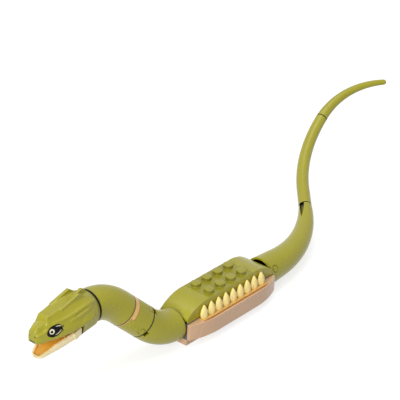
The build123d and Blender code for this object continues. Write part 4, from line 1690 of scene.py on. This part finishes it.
    # Radius and distance out of the skin.
    NOSTRIL_PIT = ((0.0, -0.8), (0.3, -0.6), (0.5, 0.3), (0.6, 1.2), (0.0, 1.2))

    def __post_init__(self) -> None:
        """Work out the collar's, the hinge's, the mouth's and the jaw's own places."""
        place, _ = self.layout.joints["head_swivel"]
        start = place + Vector((self.layout.gap / 2, 0, 0))
        self.seam = Seam(start, Vector((0, 0, 1)), Vector((1, 0, 0)))
        hinge = self.place(self.hinge_ahead, -self.hinge_drop, 0)
        hinge_seam = Seam(hinge, self.seam.x, self.seam.z).tipped(self.mouth_rise - self.jaw_open)
        self.across = Seam(hinge, hinge_seam.x, hinge_seam.y)
        roof = self.place(self.hinge_ahead, self.roof(self.hinge_ahead), 0)
        self.roof_seam = Seam(roof, self.seam.x, self.seam.z).tipped(self.mouth_rise)
        self.jaw_seam = Seam(hinge_seam.at(self.rim_rise), hinge_seam.x, hinge_seam.z)

    def build(self) -> None:
        """Make every piece of the head."""
        shell = self.shell()
        skin = shell.tree()
        self.workshop.make("upper_head", shell, OLIVE, "head", ["head_shell"], self.shell_shade)
        self.palate()
        self.jaw()
        for side_name, side in SIDES.items():
            EyePrint(self.workshop, self, skin, side_name, side).build()

    def place(self, ahead: float, up: float, left: float) -> Vector:
        """Point of the head, from its distance ahead of the collar, its height and its side."""
        return self.seam.at(up, -left, ahead)

    def coordinates(self, point: Vector) -> tuple[float, float, float]:
        """Distance of a point ahead of the collar, its height and its distance from the head's middle."""
        offset = point - self.seam.origin
        return offset.dot(self.seam.z), offset.dot(self.seam.x), abs(offset.dot(self.seam.y))

    def roof(self, ahead: float) -> float:
        """Height of the mouth's roof."""
        return math.tan(math.radians(self.mouth_rise)) * (ahead - self.mouth_corner) - self.mouth_drop

    def lip(self, ahead: float) -> float:
        """Half width of the upper lip."""
        return eased(self.SKULL, ahead)[6]

    def shell(self) -> Moulding:
        """Upper head: skull, throat, crest and collar, with the mouth's hinge hollow.

        Returns:
            The shell.
        """
        shape = Moulding()
        rings = []
        for ahead in spread(self.SKULL[0][0], self.SKULL[-1][0], self.stations):
            crest, crest_w, brow, brow_w, cheek, cheek_w, lip_w, dip = eased(self.SKULL, ahead)
            roof, drop = self.roof(ahead), eased(self.LIP_DROP, ahead)[0]
            inner = roof if ahead < self.SKULL[-1][0] - 1.2 else roof - drop
            half = [(crest, crest_w), (brow, brow_w), (cheek, cheek_w), (roof - drop, lip_w)]
            half += [(roof - drop, lip_w - self.lip_thick), (inner, lip_w - self.lip_thick - 0.1)]
            outline = rounded([(crest - dip, 0.0)] + mirrored(half), 1.2)
            rings.append([self.place(ahead, up, -out) for up, out in outline])
        shape.skin(rings)
        throat = Moulding()
        rings = []
        for ahead, lip_w, side, side_w, under, under_w in self.THROAT:
            roof = self.roof(ahead)
            half = [(roof + 1.5, lip_w - 0.6), (roof, lip_w), (side, side_w), (under, under_w)]
            outline = rounded(mirrored(half), 1.6)
            rings.append([self.place(ahead, up, -out) for up, out in outline])
        throat.skin(rings)
        shape.combine(throat, Joining.JOIN)
        for middle, line in ((self.fin_offset, self.FIN), (0.0, self.NAPE), (-self.fin_offset, self.FIN)):
            sides = (middle - self.fin_thick / 2, middle + self.fin_thick / 2)
            fin = Moulding().skin([[self.place(ahead, up, left) for ahead, up in line] for left in sides])
            shape.combine(fin, Joining.JOIN)
        shape.remesh(self.grid, 3)
        self.crease(shape)
        self.openings(shape)
        return shape

    def crease(self, shape: Moulding) -> None:
        """Raise and sink the skin along the creases.

        Args:
            shape: the shell.
        """
        shape.bm.normal_update()
        moves = []
        for vertex in shape.bm.verts:
            ahead, up, out = self.coordinates(vertex.co)
            upward, sideways = vertex.normal.dot(self.seam.x), abs(vertex.normal.dot(self.seam.y))
            lift = sum(crease.rise(ahead, up, out, upward, sideways) for crease in self.CREASES)
            moves.append((vertex, vertex.normal * lift))
        for vertex, move in moves:
            vertex.co += move

    def openings(self, shape: Moulding) -> None:
        """Cut the hinge hollow, its bores, the nostrils and the pin's bore, and add the collar.

        Args:
            shape: the shell.
        """
        inner = self.collar_radius - self.groove_dip
        corners = [(0.0, 0.0), (inner, 0.0), (inner, self.groove), (self.collar_radius, self.groove)]
        corners += [(self.collar_radius, self.collar_length), (0.0, self.collar_length)]
        collar = Moulding().lathe(self.seam, rounded(corners, self.edge, closed=False), steps=96)
        shape.combine(collar, Joining.JOIN)
        low = (-self.clear, -self.hollow_half, self.hollow_start)
        high = (self.hollow_top, self.hollow_half, self.hollow_end)
        shape.combine(Moulding().box(low, high, self.seam), Joining.CUT)
        for side in (-1, 1):
            lefts = (side * self.slot_half, side * self.clear)
            slot = [[self.place(ahead, up, left) for up, ahead in self.CHEEK_SLOT] for left in lefts]
            shape.combine(Moulding().skin(slot), Joining.CUT)
        reach = self.hollow_half + self.trunnion_reach + 0.15
        axle = [(0.0, -reach), (self.hinge_bore, -reach), (self.hinge_bore, reach), (0.0, reach)]
        shape.combine(Moulding().lathe(self.across, axle, steps=40), Joining.CUT)
        seat = [(0.0, -1.0), (self.pin_seat, -1.0), (self.pin_seat, self.pin_seat_depth)]
        seat += [(self.pin_bore, self.pin_seat_depth), (self.pin_bore, self.pin_depth), (0.0, self.pin_depth)]
        shape.combine(Moulding().lathe(self.seam, seat, steps=48), Joining.CUT)
        ahead, up, out = self.nostril
        for side in (-1, 1):
            aim = Vector((0.85, side * 0.5, 0.1)).normalized()
            pit = Seam(self.place(ahead, up, side * out), self.seam.x, aim)
            shape.combine(Moulding().lathe(pit, self.NOSTRIL_PIT, steps=24), Joining.CUT)

    def shell_shade(self, point: Vector) -> float:
        """Painted shade at the shell's points: its joint with the neck, its jaw slots and its mouth.

        Args:
            point: the place.

        Returns:
            The painted shade.
        """
        ahead, up, out = self.coordinates(point)
        if ahead < 0.6:
            return min(max(PAINTED_SHADE_STEEPNESS - ahead / self.collar_shade_reach, 0.0), 1.0)
        in_slot = self.slot_back < ahead < self.slot_front and up < -0.65 and out < self.slot_half + 0.45
        inside_lip = out < self.lip(ahead) - self.lip_thick - 0.05
        in_mouth = ahead > 13 and up < self.roof(ahead) + 0.12 and inside_lip
        return 1.0 if in_slot else (self.mouth_shade if in_mouth else 0.0)

    def spike(self, shape: Moulding, seam: Seam, radius: float, height: float, lean: float = 0.0) -> None:
        """Add a pointed tooth that stands on a seam and leans towards its x.

        Args:
            shape: mouldings to add it to.
            seam: where it stands.
            radius: radius of its foot.
            height: its height.
            lean: how far its tip leans.
        """
        rings = []
        for share in spread(0.0, 1.0, 9):
            place = Seam(seam.at(x=lean * share**2, z=height * share - 0.25 * (1 - share)), seam.x, seam.z)
            rings.append(place.circle(radius * max(1 - share**1.4, 0.06), 0.0, 16))
        shape.skin(rings)

    def lip_places(self, inset: float, count: int, first: float, last: float) -> list[tuple[float, float]]:
        """Evenly spread places along the lip, as distances ahead of the hinge and half widths.

        Args:
            inset: distance inside the lip.
            count: how many.
            first: where the row starts, ahead of the hinge.
            last: where it ends.

        Returns:
            The places.
        """
        places = []
        for number in range(count):
            reach = first + (last - first) * (number + 0.5) / count
            places.append((reach, self.lip(reach + self.hinge_ahead) - inset))
        return places

    def palate(self) -> None:
        """Palate under the mouth's roof, with a row of teeth on each side."""
        first, last = self.palate_start - self.hinge_ahead, self.palate_end
        reaches = spread(first, last, 24)
        half = [(reach, self.palate_inset - self.lip(reach + self.hinge_ahead)) for reach in reaches]
        outline = mirrored(half)
        seam = Seam(self.roof_seam.origin, self.roof_seam.z, -self.roof_seam.x)
        shape = Moulding().prism(seam, outline, 0.0, self.palate_thick)
        shape.soften(0.35)
        teeth = Moulding()
        row = self.lip_places(self.palate_inset + 0.6, self.upper_teeth, first, last)
        for number, (reach, out) in enumerate(row):
            fang = number in (1, self.upper_teeth - 1)
            for side in (-1, 1):
                foot = Seam(seam.at(reach, side * out, self.palate_thick), -seam.x, seam.z)
                self.spike(teeth, foot, *(self.fang_size if fang else self.tooth_size), self.tooth_lean)
        shape.combine(teeth, Joining.JOIN)
        middle = self.roof_seam

        def shade(point: Vector) -> float:
            """Painted shade, dark amber, in the middle of the palate; the pale plastic shows at its edge and
            on its teeth.

            Args:
                point: the place.

            Returns:
                The painted shade.
            """
            out = abs((point - middle.origin).dot(middle.y))
            along = (point - middle.origin).dot(middle.z) + self.hinge_ahead
            return min(max((self.lip(along) - self.palate_inset - 0.6 - out) / 1.5, 0.0), 1.0)

        self.workshop.make("palate_row", shape, PALATE, "head", ["palate_teeth"], shade)

    def jaw_section(self, reach: float, inset: float, floor: float, top: float) -> Ring:
        """Outline across the jaw's tray, a rounded U closed along its top.

        Args:
            reach: distance ahead of the hinge.
            inset: how far inside the outer skin.
            floor: how far above the underside.
            top: height of its open side.

        Returns:
            The outline.
        """
        share = (reach - self.jaw_start) / (self.jaw_end - self.jaw_start)
        depth = self.jaw_depth + (self.jaw_tip_depth - self.jaw_depth) * share - floor
        start = self.lip(max(reach, self.jaw_start) + self.hinge_ahead) - self.jaw_inset
        over = max(reach - self.jaw_end + self.jaw_tip, 0.0) / self.jaw_tip
        tail = max(1 - over**2, 0.0) ** 0.5
        half = max((start - inset) * (0.3 + 0.7 * tail), 0.3)
        lead = min((reach - self.jaw_start) / 2.5, 1.0)
        half = min(half, self.arm_half - inset + (half - self.arm_half + inset) * lead)
        rim = top - eased(self.RIM_DROP, reach)[0]
        depth *= 0.72 + 0.28 * tail
        ring = [self.jaw_seam.at(rim, -half, reach)]
        for turn in spread(0.0, math.pi, 25):
            out = math.copysign(abs(math.cos(turn)) ** self.jaw_square, -math.cos(turn)) * half
            level = min(rim, 0.0)
            below = (depth + level) * math.sin(turn) ** self.jaw_square
            ring.append(self.jaw_seam.at(level - below, out, reach))
        ring.append(self.jaw_seam.at(rim, half, reach))
        return ring

    def jaw(self) -> None:
        """Lower jaw: a toothed tray on two arms that turn in the cheeks."""
        seam = self.jaw_seam
        shape = Moulding()
        reaches = spread(self.jaw_start, self.jaw_end - self.jaw_tip, 26)[:-1]
        reaches += spread(self.jaw_end - self.jaw_tip, self.jaw_end, 9)
        shape.skin([self.jaw_section(reach, 0.0, 0.0, 0.01) for reach in reaches])
        arms = Moulding().box(
            (-self.jaw_depth, -self.arm_half, self.arm_back), (0.0, self.arm_half, self.jaw_start + 1.6), seam
        )
        across = self.across
        disc = [(0.0, -self.arm_half), (self.arm_radius, -self.arm_half)]
        disc += [(self.arm_radius, self.arm_half), (0.0, self.arm_half)]
        arms.combine(Moulding().lathe(across, disc, steps=48), Joining.JOIN)
        shape.combine(arms, Joining.JOIN)
        inner = [reach for reach in reaches if self.jaw_start + 0.2 < reach < self.jaw_end - 0.7]
        sections = [self.jaw_section(reach, self.jaw_wall, self.jaw_floor, 1.5) for reach in inner]
        hollow = Moulding().skin(sections)
        channel_half = self.arm_half - self.jaw_wall
        low = (-self.jaw_depth + self.jaw_floor, -channel_half, self.arm_back - 3)
        hollow.combine(Moulding().box(low, (3.0, channel_half, self.jaw_start + 1.8), seam), Joining.JOIN)
        shape.combine(hollow, Joining.CUT)
        shape.soften(0.3, angle=40)
        plate = rounded(self.CHEEK_PLATE, 0.5)
        for side in (-1, 1):
            outs = (side * self.slot_half + side * 0.1, side * self.cheek_half)
            cheek = [[seam.at(up, out, reach) for up, reach in plate] for out in outs]
            shape.combine(Moulding().skin(cheek), Joining.JOIN)
        extras = Moulding()
        reach = self.arm_half + self.fit + self.trunnion_reach
        for side in (-1, 1):
            inside, outside, radius = side * (self.arm_half - 0.4), side * reach, self.trunnion_radius
            stub = [(0.0, inside), (radius, inside), (radius, outside), (0.0, outside)]
            extras.lathe(across, stub, steps=32)
            first, last = self.jaw_start + 1.5, self.jaw_end - 1.0
            for along, out in self.lip_places(self.jaw_inset + 0.8, self.lower_teeth, first, last):
                foot = seam.at(-eased(self.RIM_DROP, along)[0], side * out, along)
                self.spike(extras, Seam(foot, -seam.z, seam.x), *self.nub_size, 0.05)
        shape.combine(extras, Joining.JOIN)

        def shade(point: Vector) -> float:
            """Amber inside the tray, peach outside and on the rim.

            Args:
                point: the place.

            Returns:
                The depth.
            """
            offset = point - seam.origin
            along, out, up = offset.dot(seam.z), abs(offset.dot(seam.y)), offset.dot(seam.x)
            wall = self.lip(min(along, self.jaw_end) + self.hinge_ahead) - self.jaw_inset - self.jaw_wall
            within = min(max((wall + 0.25 - out) / 0.5, 0.0), 1.0)
            share = (along - self.jaw_start) / (self.jaw_end - self.jaw_start)
            base = -self.jaw_depth + (self.jaw_depth - self.jaw_tip_depth) * share
            return within * min(max((up - base - 0.5) / 0.3, 0.0), 1.0)

        self.workshop.make("lower_jaw_tray", shape, JAW_PEACH, "jaw", ["lower_jaw"], shade)


@dataclass
class EyePrint:
    """A printed eye on one side of the head: an almond, a pale iris, its pupil, two glints and two dashes."""

    workshop: Workshop
    head: Head
    skin: BVHTree
    side_name: str
    side: int
    ahead: float = 26.2
    up: float = 1.5
    cheek: float = 5.4
    length: float = 7.8
    height: float = 5.2
    tilt: float = -12.0
    iris: float = 1.2
    pupil: float = 0.62
    line_half: float = 0.17
    film: float = 0.03
    print_depth: float = 0.12
    iris_place: tuple[float, float] = (1.35, -0.35)
    pupil_shift: tuple[float, float] = (0.12, 0.05)

    def build(self) -> None:
        """Make the prints, each a thin layer over the one before."""
        turns = spread(0.0, 2 * math.pi, 49)[:-1]
        almond = []
        for turn in turns:
            pinch = 1 - 0.25 * abs(math.cos(turn)) ** 6
            almond.append((self.length / 2 * math.cos(turn), self.height / 2 * math.sin(turn) * pinch))
        self.layer("eye_almond", almond, PRINT_BLACK, 1)
        centre = self.iris_place
        self.layer("eye_iris", self.disc(centre, self.iris), PRINT_PALE, 2)
        pupil = (centre[0] + self.pupil_shift[0], centre[1] + self.pupil_shift[1])
        self.layer("eye_slit", self.disc(pupil, self.pupil), PRINT_BLACK, 3)
        self.band("eye_glint_1", (-0.2, -2.6), 4.4, (78, 128), PRINT_PALE, 2)
        self.band("eye_glint_2", (-0.4, 3.0), 4.6, (226, 262), PRINT_PALE, 2)
        self.band("eye_dash_1", centre, self.iris + 3.9, (148, 166), PRINT_BLACK, 1)
        self.band("eye_dash_2", centre, self.iris + 4.5, (168, 182), PRINT_BLACK, 1)

    @staticmethod
    def disc(centre: tuple[float, float], radius: float) -> Outline:
        """Outline of a round print."""
        turns = spread(0.0, 2 * math.pi, 33)[:-1]
        return [(centre[0] + radius * math.cos(turn), centre[1] + radius * math.sin(turn)) for turn in turns]

    def band(
        self,
        name: str,
        centre: tuple[float, float],
        radius: float,
        turns: tuple[float, float],
        plastic: Plastic,
        level: int,
    ) -> None:
        """Lay a thin curved line round a centre, between two angles in degrees, with tapered ends.

        Args:
            name: the piece's name without its side.
            centre: middle of the curve.
            radius: its radius.
            turns: where it starts and ends.
            plastic: its print.
            level: how many films above the skin.
        """
        rings = []
        top = self.film * level
        for share in spread(0.0, 1.0, 17):
            turn = math.radians(turns[0] + (turns[1] - turns[0]) * share)
            half = max(self.line_half * math.sin(math.pi * share) ** 0.5, 0.02)
            near, far, under = radius - half, radius + half, top - self.print_depth
            corners = ((near, top), (far, top), (far, under), (near, under))
            rings.append([
                self.on_skin(centre[0] + reach * math.cos(turn), centre[1] + reach * math.sin(turn), lift)
                for reach, lift in corners
            ])
        self.workshop.make(f"{name}_{self.side_name}", Moulding().skin(rings), plastic, "head")

    def layer(self, name: str, outline: Outline, plastic: Plastic, level: int) -> None:
        """Lay one filled outline on the skin, a little above the last.

        Args:
            name: the piece's name without its side.
            outline: its edge, in the eye's own plane.
            plastic: its print.
            level: how many films above the skin.
        """
        mid_x = sum(x for x, _ in outline) / len(outline)
        mid_y = sum(y for _, y in outline) / len(outline)
        top = []
        for share in (1.0, 0.8, 0.6, 0.4, 0.2):
            ring = [(mid_x + (x - mid_x) * share, mid_y + (y - mid_y) * share) for x, y in outline]
            top.append([self.on_skin(x, y, self.film * level) for x, y in ring])
        top.append([self.on_skin(mid_x, mid_y, self.film * level)])
        drop = self.outward() * (self.film * level + self.print_depth)
        bottom = [[point - drop for point in ring] for ring in reversed(top)]
        shape = Moulding().skin(bottom + top)
        self.workshop.make(f"{name}_{self.side_name}", shape, plastic, "head")

    def outward(self) -> Vector:
        """Direction out of the head at the eye."""
        return Vector((0.42, self.side * 0.86, 0.28)).normalized()

    def on_skin(self, along: float, rise: float, lift: float) -> Vector:
        """Point above the head's skin, at a place of the eye's own flat outline.

        Args:
            along: distance towards the snout.
            rise: distance up.
            lift: distance above the skin.

        Returns:
            The point.
        """
        turn = math.radians(self.tilt)
        forward = along * math.cos(turn) + rise * math.sin(turn)
        upward = rise * math.cos(turn) - along * math.sin(turn)
        out = self.outward()
        ahead_axis = (self.head.seam.z - out * self.head.seam.z.dot(out)).normalized()
        up_axis = ahead_axis.cross(out) * -self.side
        middle = self.head.place(self.ahead, self.up, self.side * self.cheek)
        start = middle + ahead_axis * forward + up_axis * upward + out * 10
        return self.skin.ray_cast(start, -out)[0] + out * lift


# ---- Studio ----
@dataclass(frozen=True)
class Studio:
    """Pale floor, soft lights and the camera, in metres, watts and degrees."""

    place: tuple[float, float, float] = (0.58217, 0.44742, 0.44536)
    azimuth: float = 38.371
    elevation: float = 27.655
    roll: float = 2.853
    lens: float = 161.8
    sensor: float = 36.0
    floor_size: float = 6.0
    fill: float = 0.34
    floor_glow: float = 0.72
    floor_shade: float = 0.45

    # Name, place, aim, size and power.
    LAMPS = (
        ("overhead_box", (-0.1, -0.15, 1.3), (0.0, 0.0, 0.0), 1.0, 8.0),
        ("camera_side_box", (1.25, 0.42, 0.5), (0.0, 0.0, 0.02), 0.8, 13.5),
    )

    def build(self, floor_level: float) -> None:
        """Set up the whole studio.

        Args:
            floor_level: the floor's height.
        """
        self.camera()
        self.world()
        self.floor(floor_level)
        for lamp in self.LAMPS:
            self.lamp(*lamp)
        bpy.context.scene.view_settings.view_transform = "Standard"

    def camera(self) -> None:
        """Camera ahead of the snake on its left, looking down a little."""
        turn, lift, roll = (math.radians(angle) for angle in (self.azimuth, self.elevation, self.roll))
        back = Vector((math.cos(lift) * math.cos(turn), math.cos(lift) * math.sin(turn), math.sin(lift)))
        level = Vector((-math.sin(turn), math.cos(turn), 0))
        upright = back.cross(level)
        right = level * math.cos(roll) + upright * math.sin(roll)
        up = back.cross(right)
        data = bpy.data.cameras.new("studio_camera")
        data.lens, data.sensor_width = self.lens, self.sensor
        data.clip_start, data.clip_end = 0.01, 20.0
        made = bpy.data.objects.new("studio_camera", data)
        made.matrix_world = Matrix((right, up, back)).transposed().to_4x4()
        made.location = self.place
        bpy.context.scene.collection.objects.link(made)
        bpy.context.scene.camera = made

    @staticmethod
    def seen(wires: Wiring) -> bpy.types.NodeSocket:
        """1 for rays from the camera and for reflected or refracted rays, and 0 for light.

        Args:
            wires: the tree to place the nodes in.

        Returns:
            The socket.
        """
        path = wires.node("LightPath").outputs
        shiny = wires.maths(path["Is Camera Ray"], path["Is Glossy Ray"])
        return wires.maths(shiny, path["Is Transmission Ray"], clamp=True)

    def world(self) -> None:
        """White surroundings that light the object softly."""
        world = bpy.data.worlds.new("studio_world")
        world.use_nodes = True
        world.node_tree.nodes.clear()
        wires = Wiring(world.node_tree)
        extra = wires.maths(self.seen(wires), 1 - self.fill, "MULTIPLY")
        strength = wires.maths(extra, self.fill)
        back = wires.node("Background", {"Color": (1, 1, 1, 1), "Strength": strength})
        wires.node("OutputWorld", {"Surface": back.outputs[0]})
        bpy.context.scene.world = world

    def floor(self, level: float) -> None:
        """Plain floor that keeps a faint shadow.

        Args:
            level: the floor's height.
        """
        material = bpy.data.materials.new("studio_floor")
        material.use_nodes = True
        material.node_tree.nodes.clear()
        wires = Wiring(material.node_tree)
        glow = wires.maths(self.seen(wires), self.floor_glow, "MULTIPLY")
        shade = (self.floor_shade,) * 3 + (1,)
        white = (1, 1, 1, 1)
        shader = wires.node(
            "BsdfPrincipled",
            {
                "Base Color": shade,
                "Roughness": 0.9,
                "Specular IOR Level": 0.0,
                "Emission Color": white,
                "Emission Strength": glow,
            },
        )
        wires.node("OutputMaterial", {"Surface": shader.outputs[0]})
        mesh = bpy.data.meshes.new("studio_floor")
        half = self.floor_size / 2
        corners = [(-half, -half, level), (half, -half, level), (half, half, level), (-half, half, level)]
        mesh.from_pydata(corners, [], [(0, 1, 2, 3)])
        mesh.materials.append(material)
        made = bpy.data.objects.new("studio_floor", mesh)
        bpy.context.scene.collection.objects.link(made)
        made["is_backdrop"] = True

    @staticmethod
    def lamp(name: str, place: Sequence[float], aim: Sequence[float], size: float, power: float) -> None:
        """Square soft light that looks at a point.

        Args:
            name: the lamp's name.
            place: where it stands.
            aim: where it points.
            size: width of its square.
            power: its power.
        """
        data = bpy.data.lights.new(name, "AREA")
        data.size, data.energy = size, power
        made = bpy.data.objects.new(name, data)
        made.location = place
        made.rotation_euler = (Vector(aim) - Vector(place)).to_track_quat("-Z", "Y").to_euler()
        bpy.context.scene.collection.objects.link(made)


def main() -> None:
    """Build the snake around its frame, then the studio."""
    logging.basicConfig(level=logging.INFO, format="%(name)s: %(message)s")
    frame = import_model()
    solid_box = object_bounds()
    mould_flow_group()
    handling_group()
    workshop = Workshop()
    layout = Layout.read(frame["joints"])
    for assembly in (Body, Neck, Tail, Head):
        assembly(workshop, layout).build()
    nodes = frame["nodes"]
    bricks = [name for name in nodes if "brick" in name and name != "neck_round_brick"]
    pins = [name for name in nodes if name.endswith(("_pin", "_axle"))]
    workshop.dress(nodes, bricks, GREY)
    workshop.dress(nodes, pins, BLACK)
    Studio().build(solid_box[0].z)


if __name__ == "__main__":
    main()
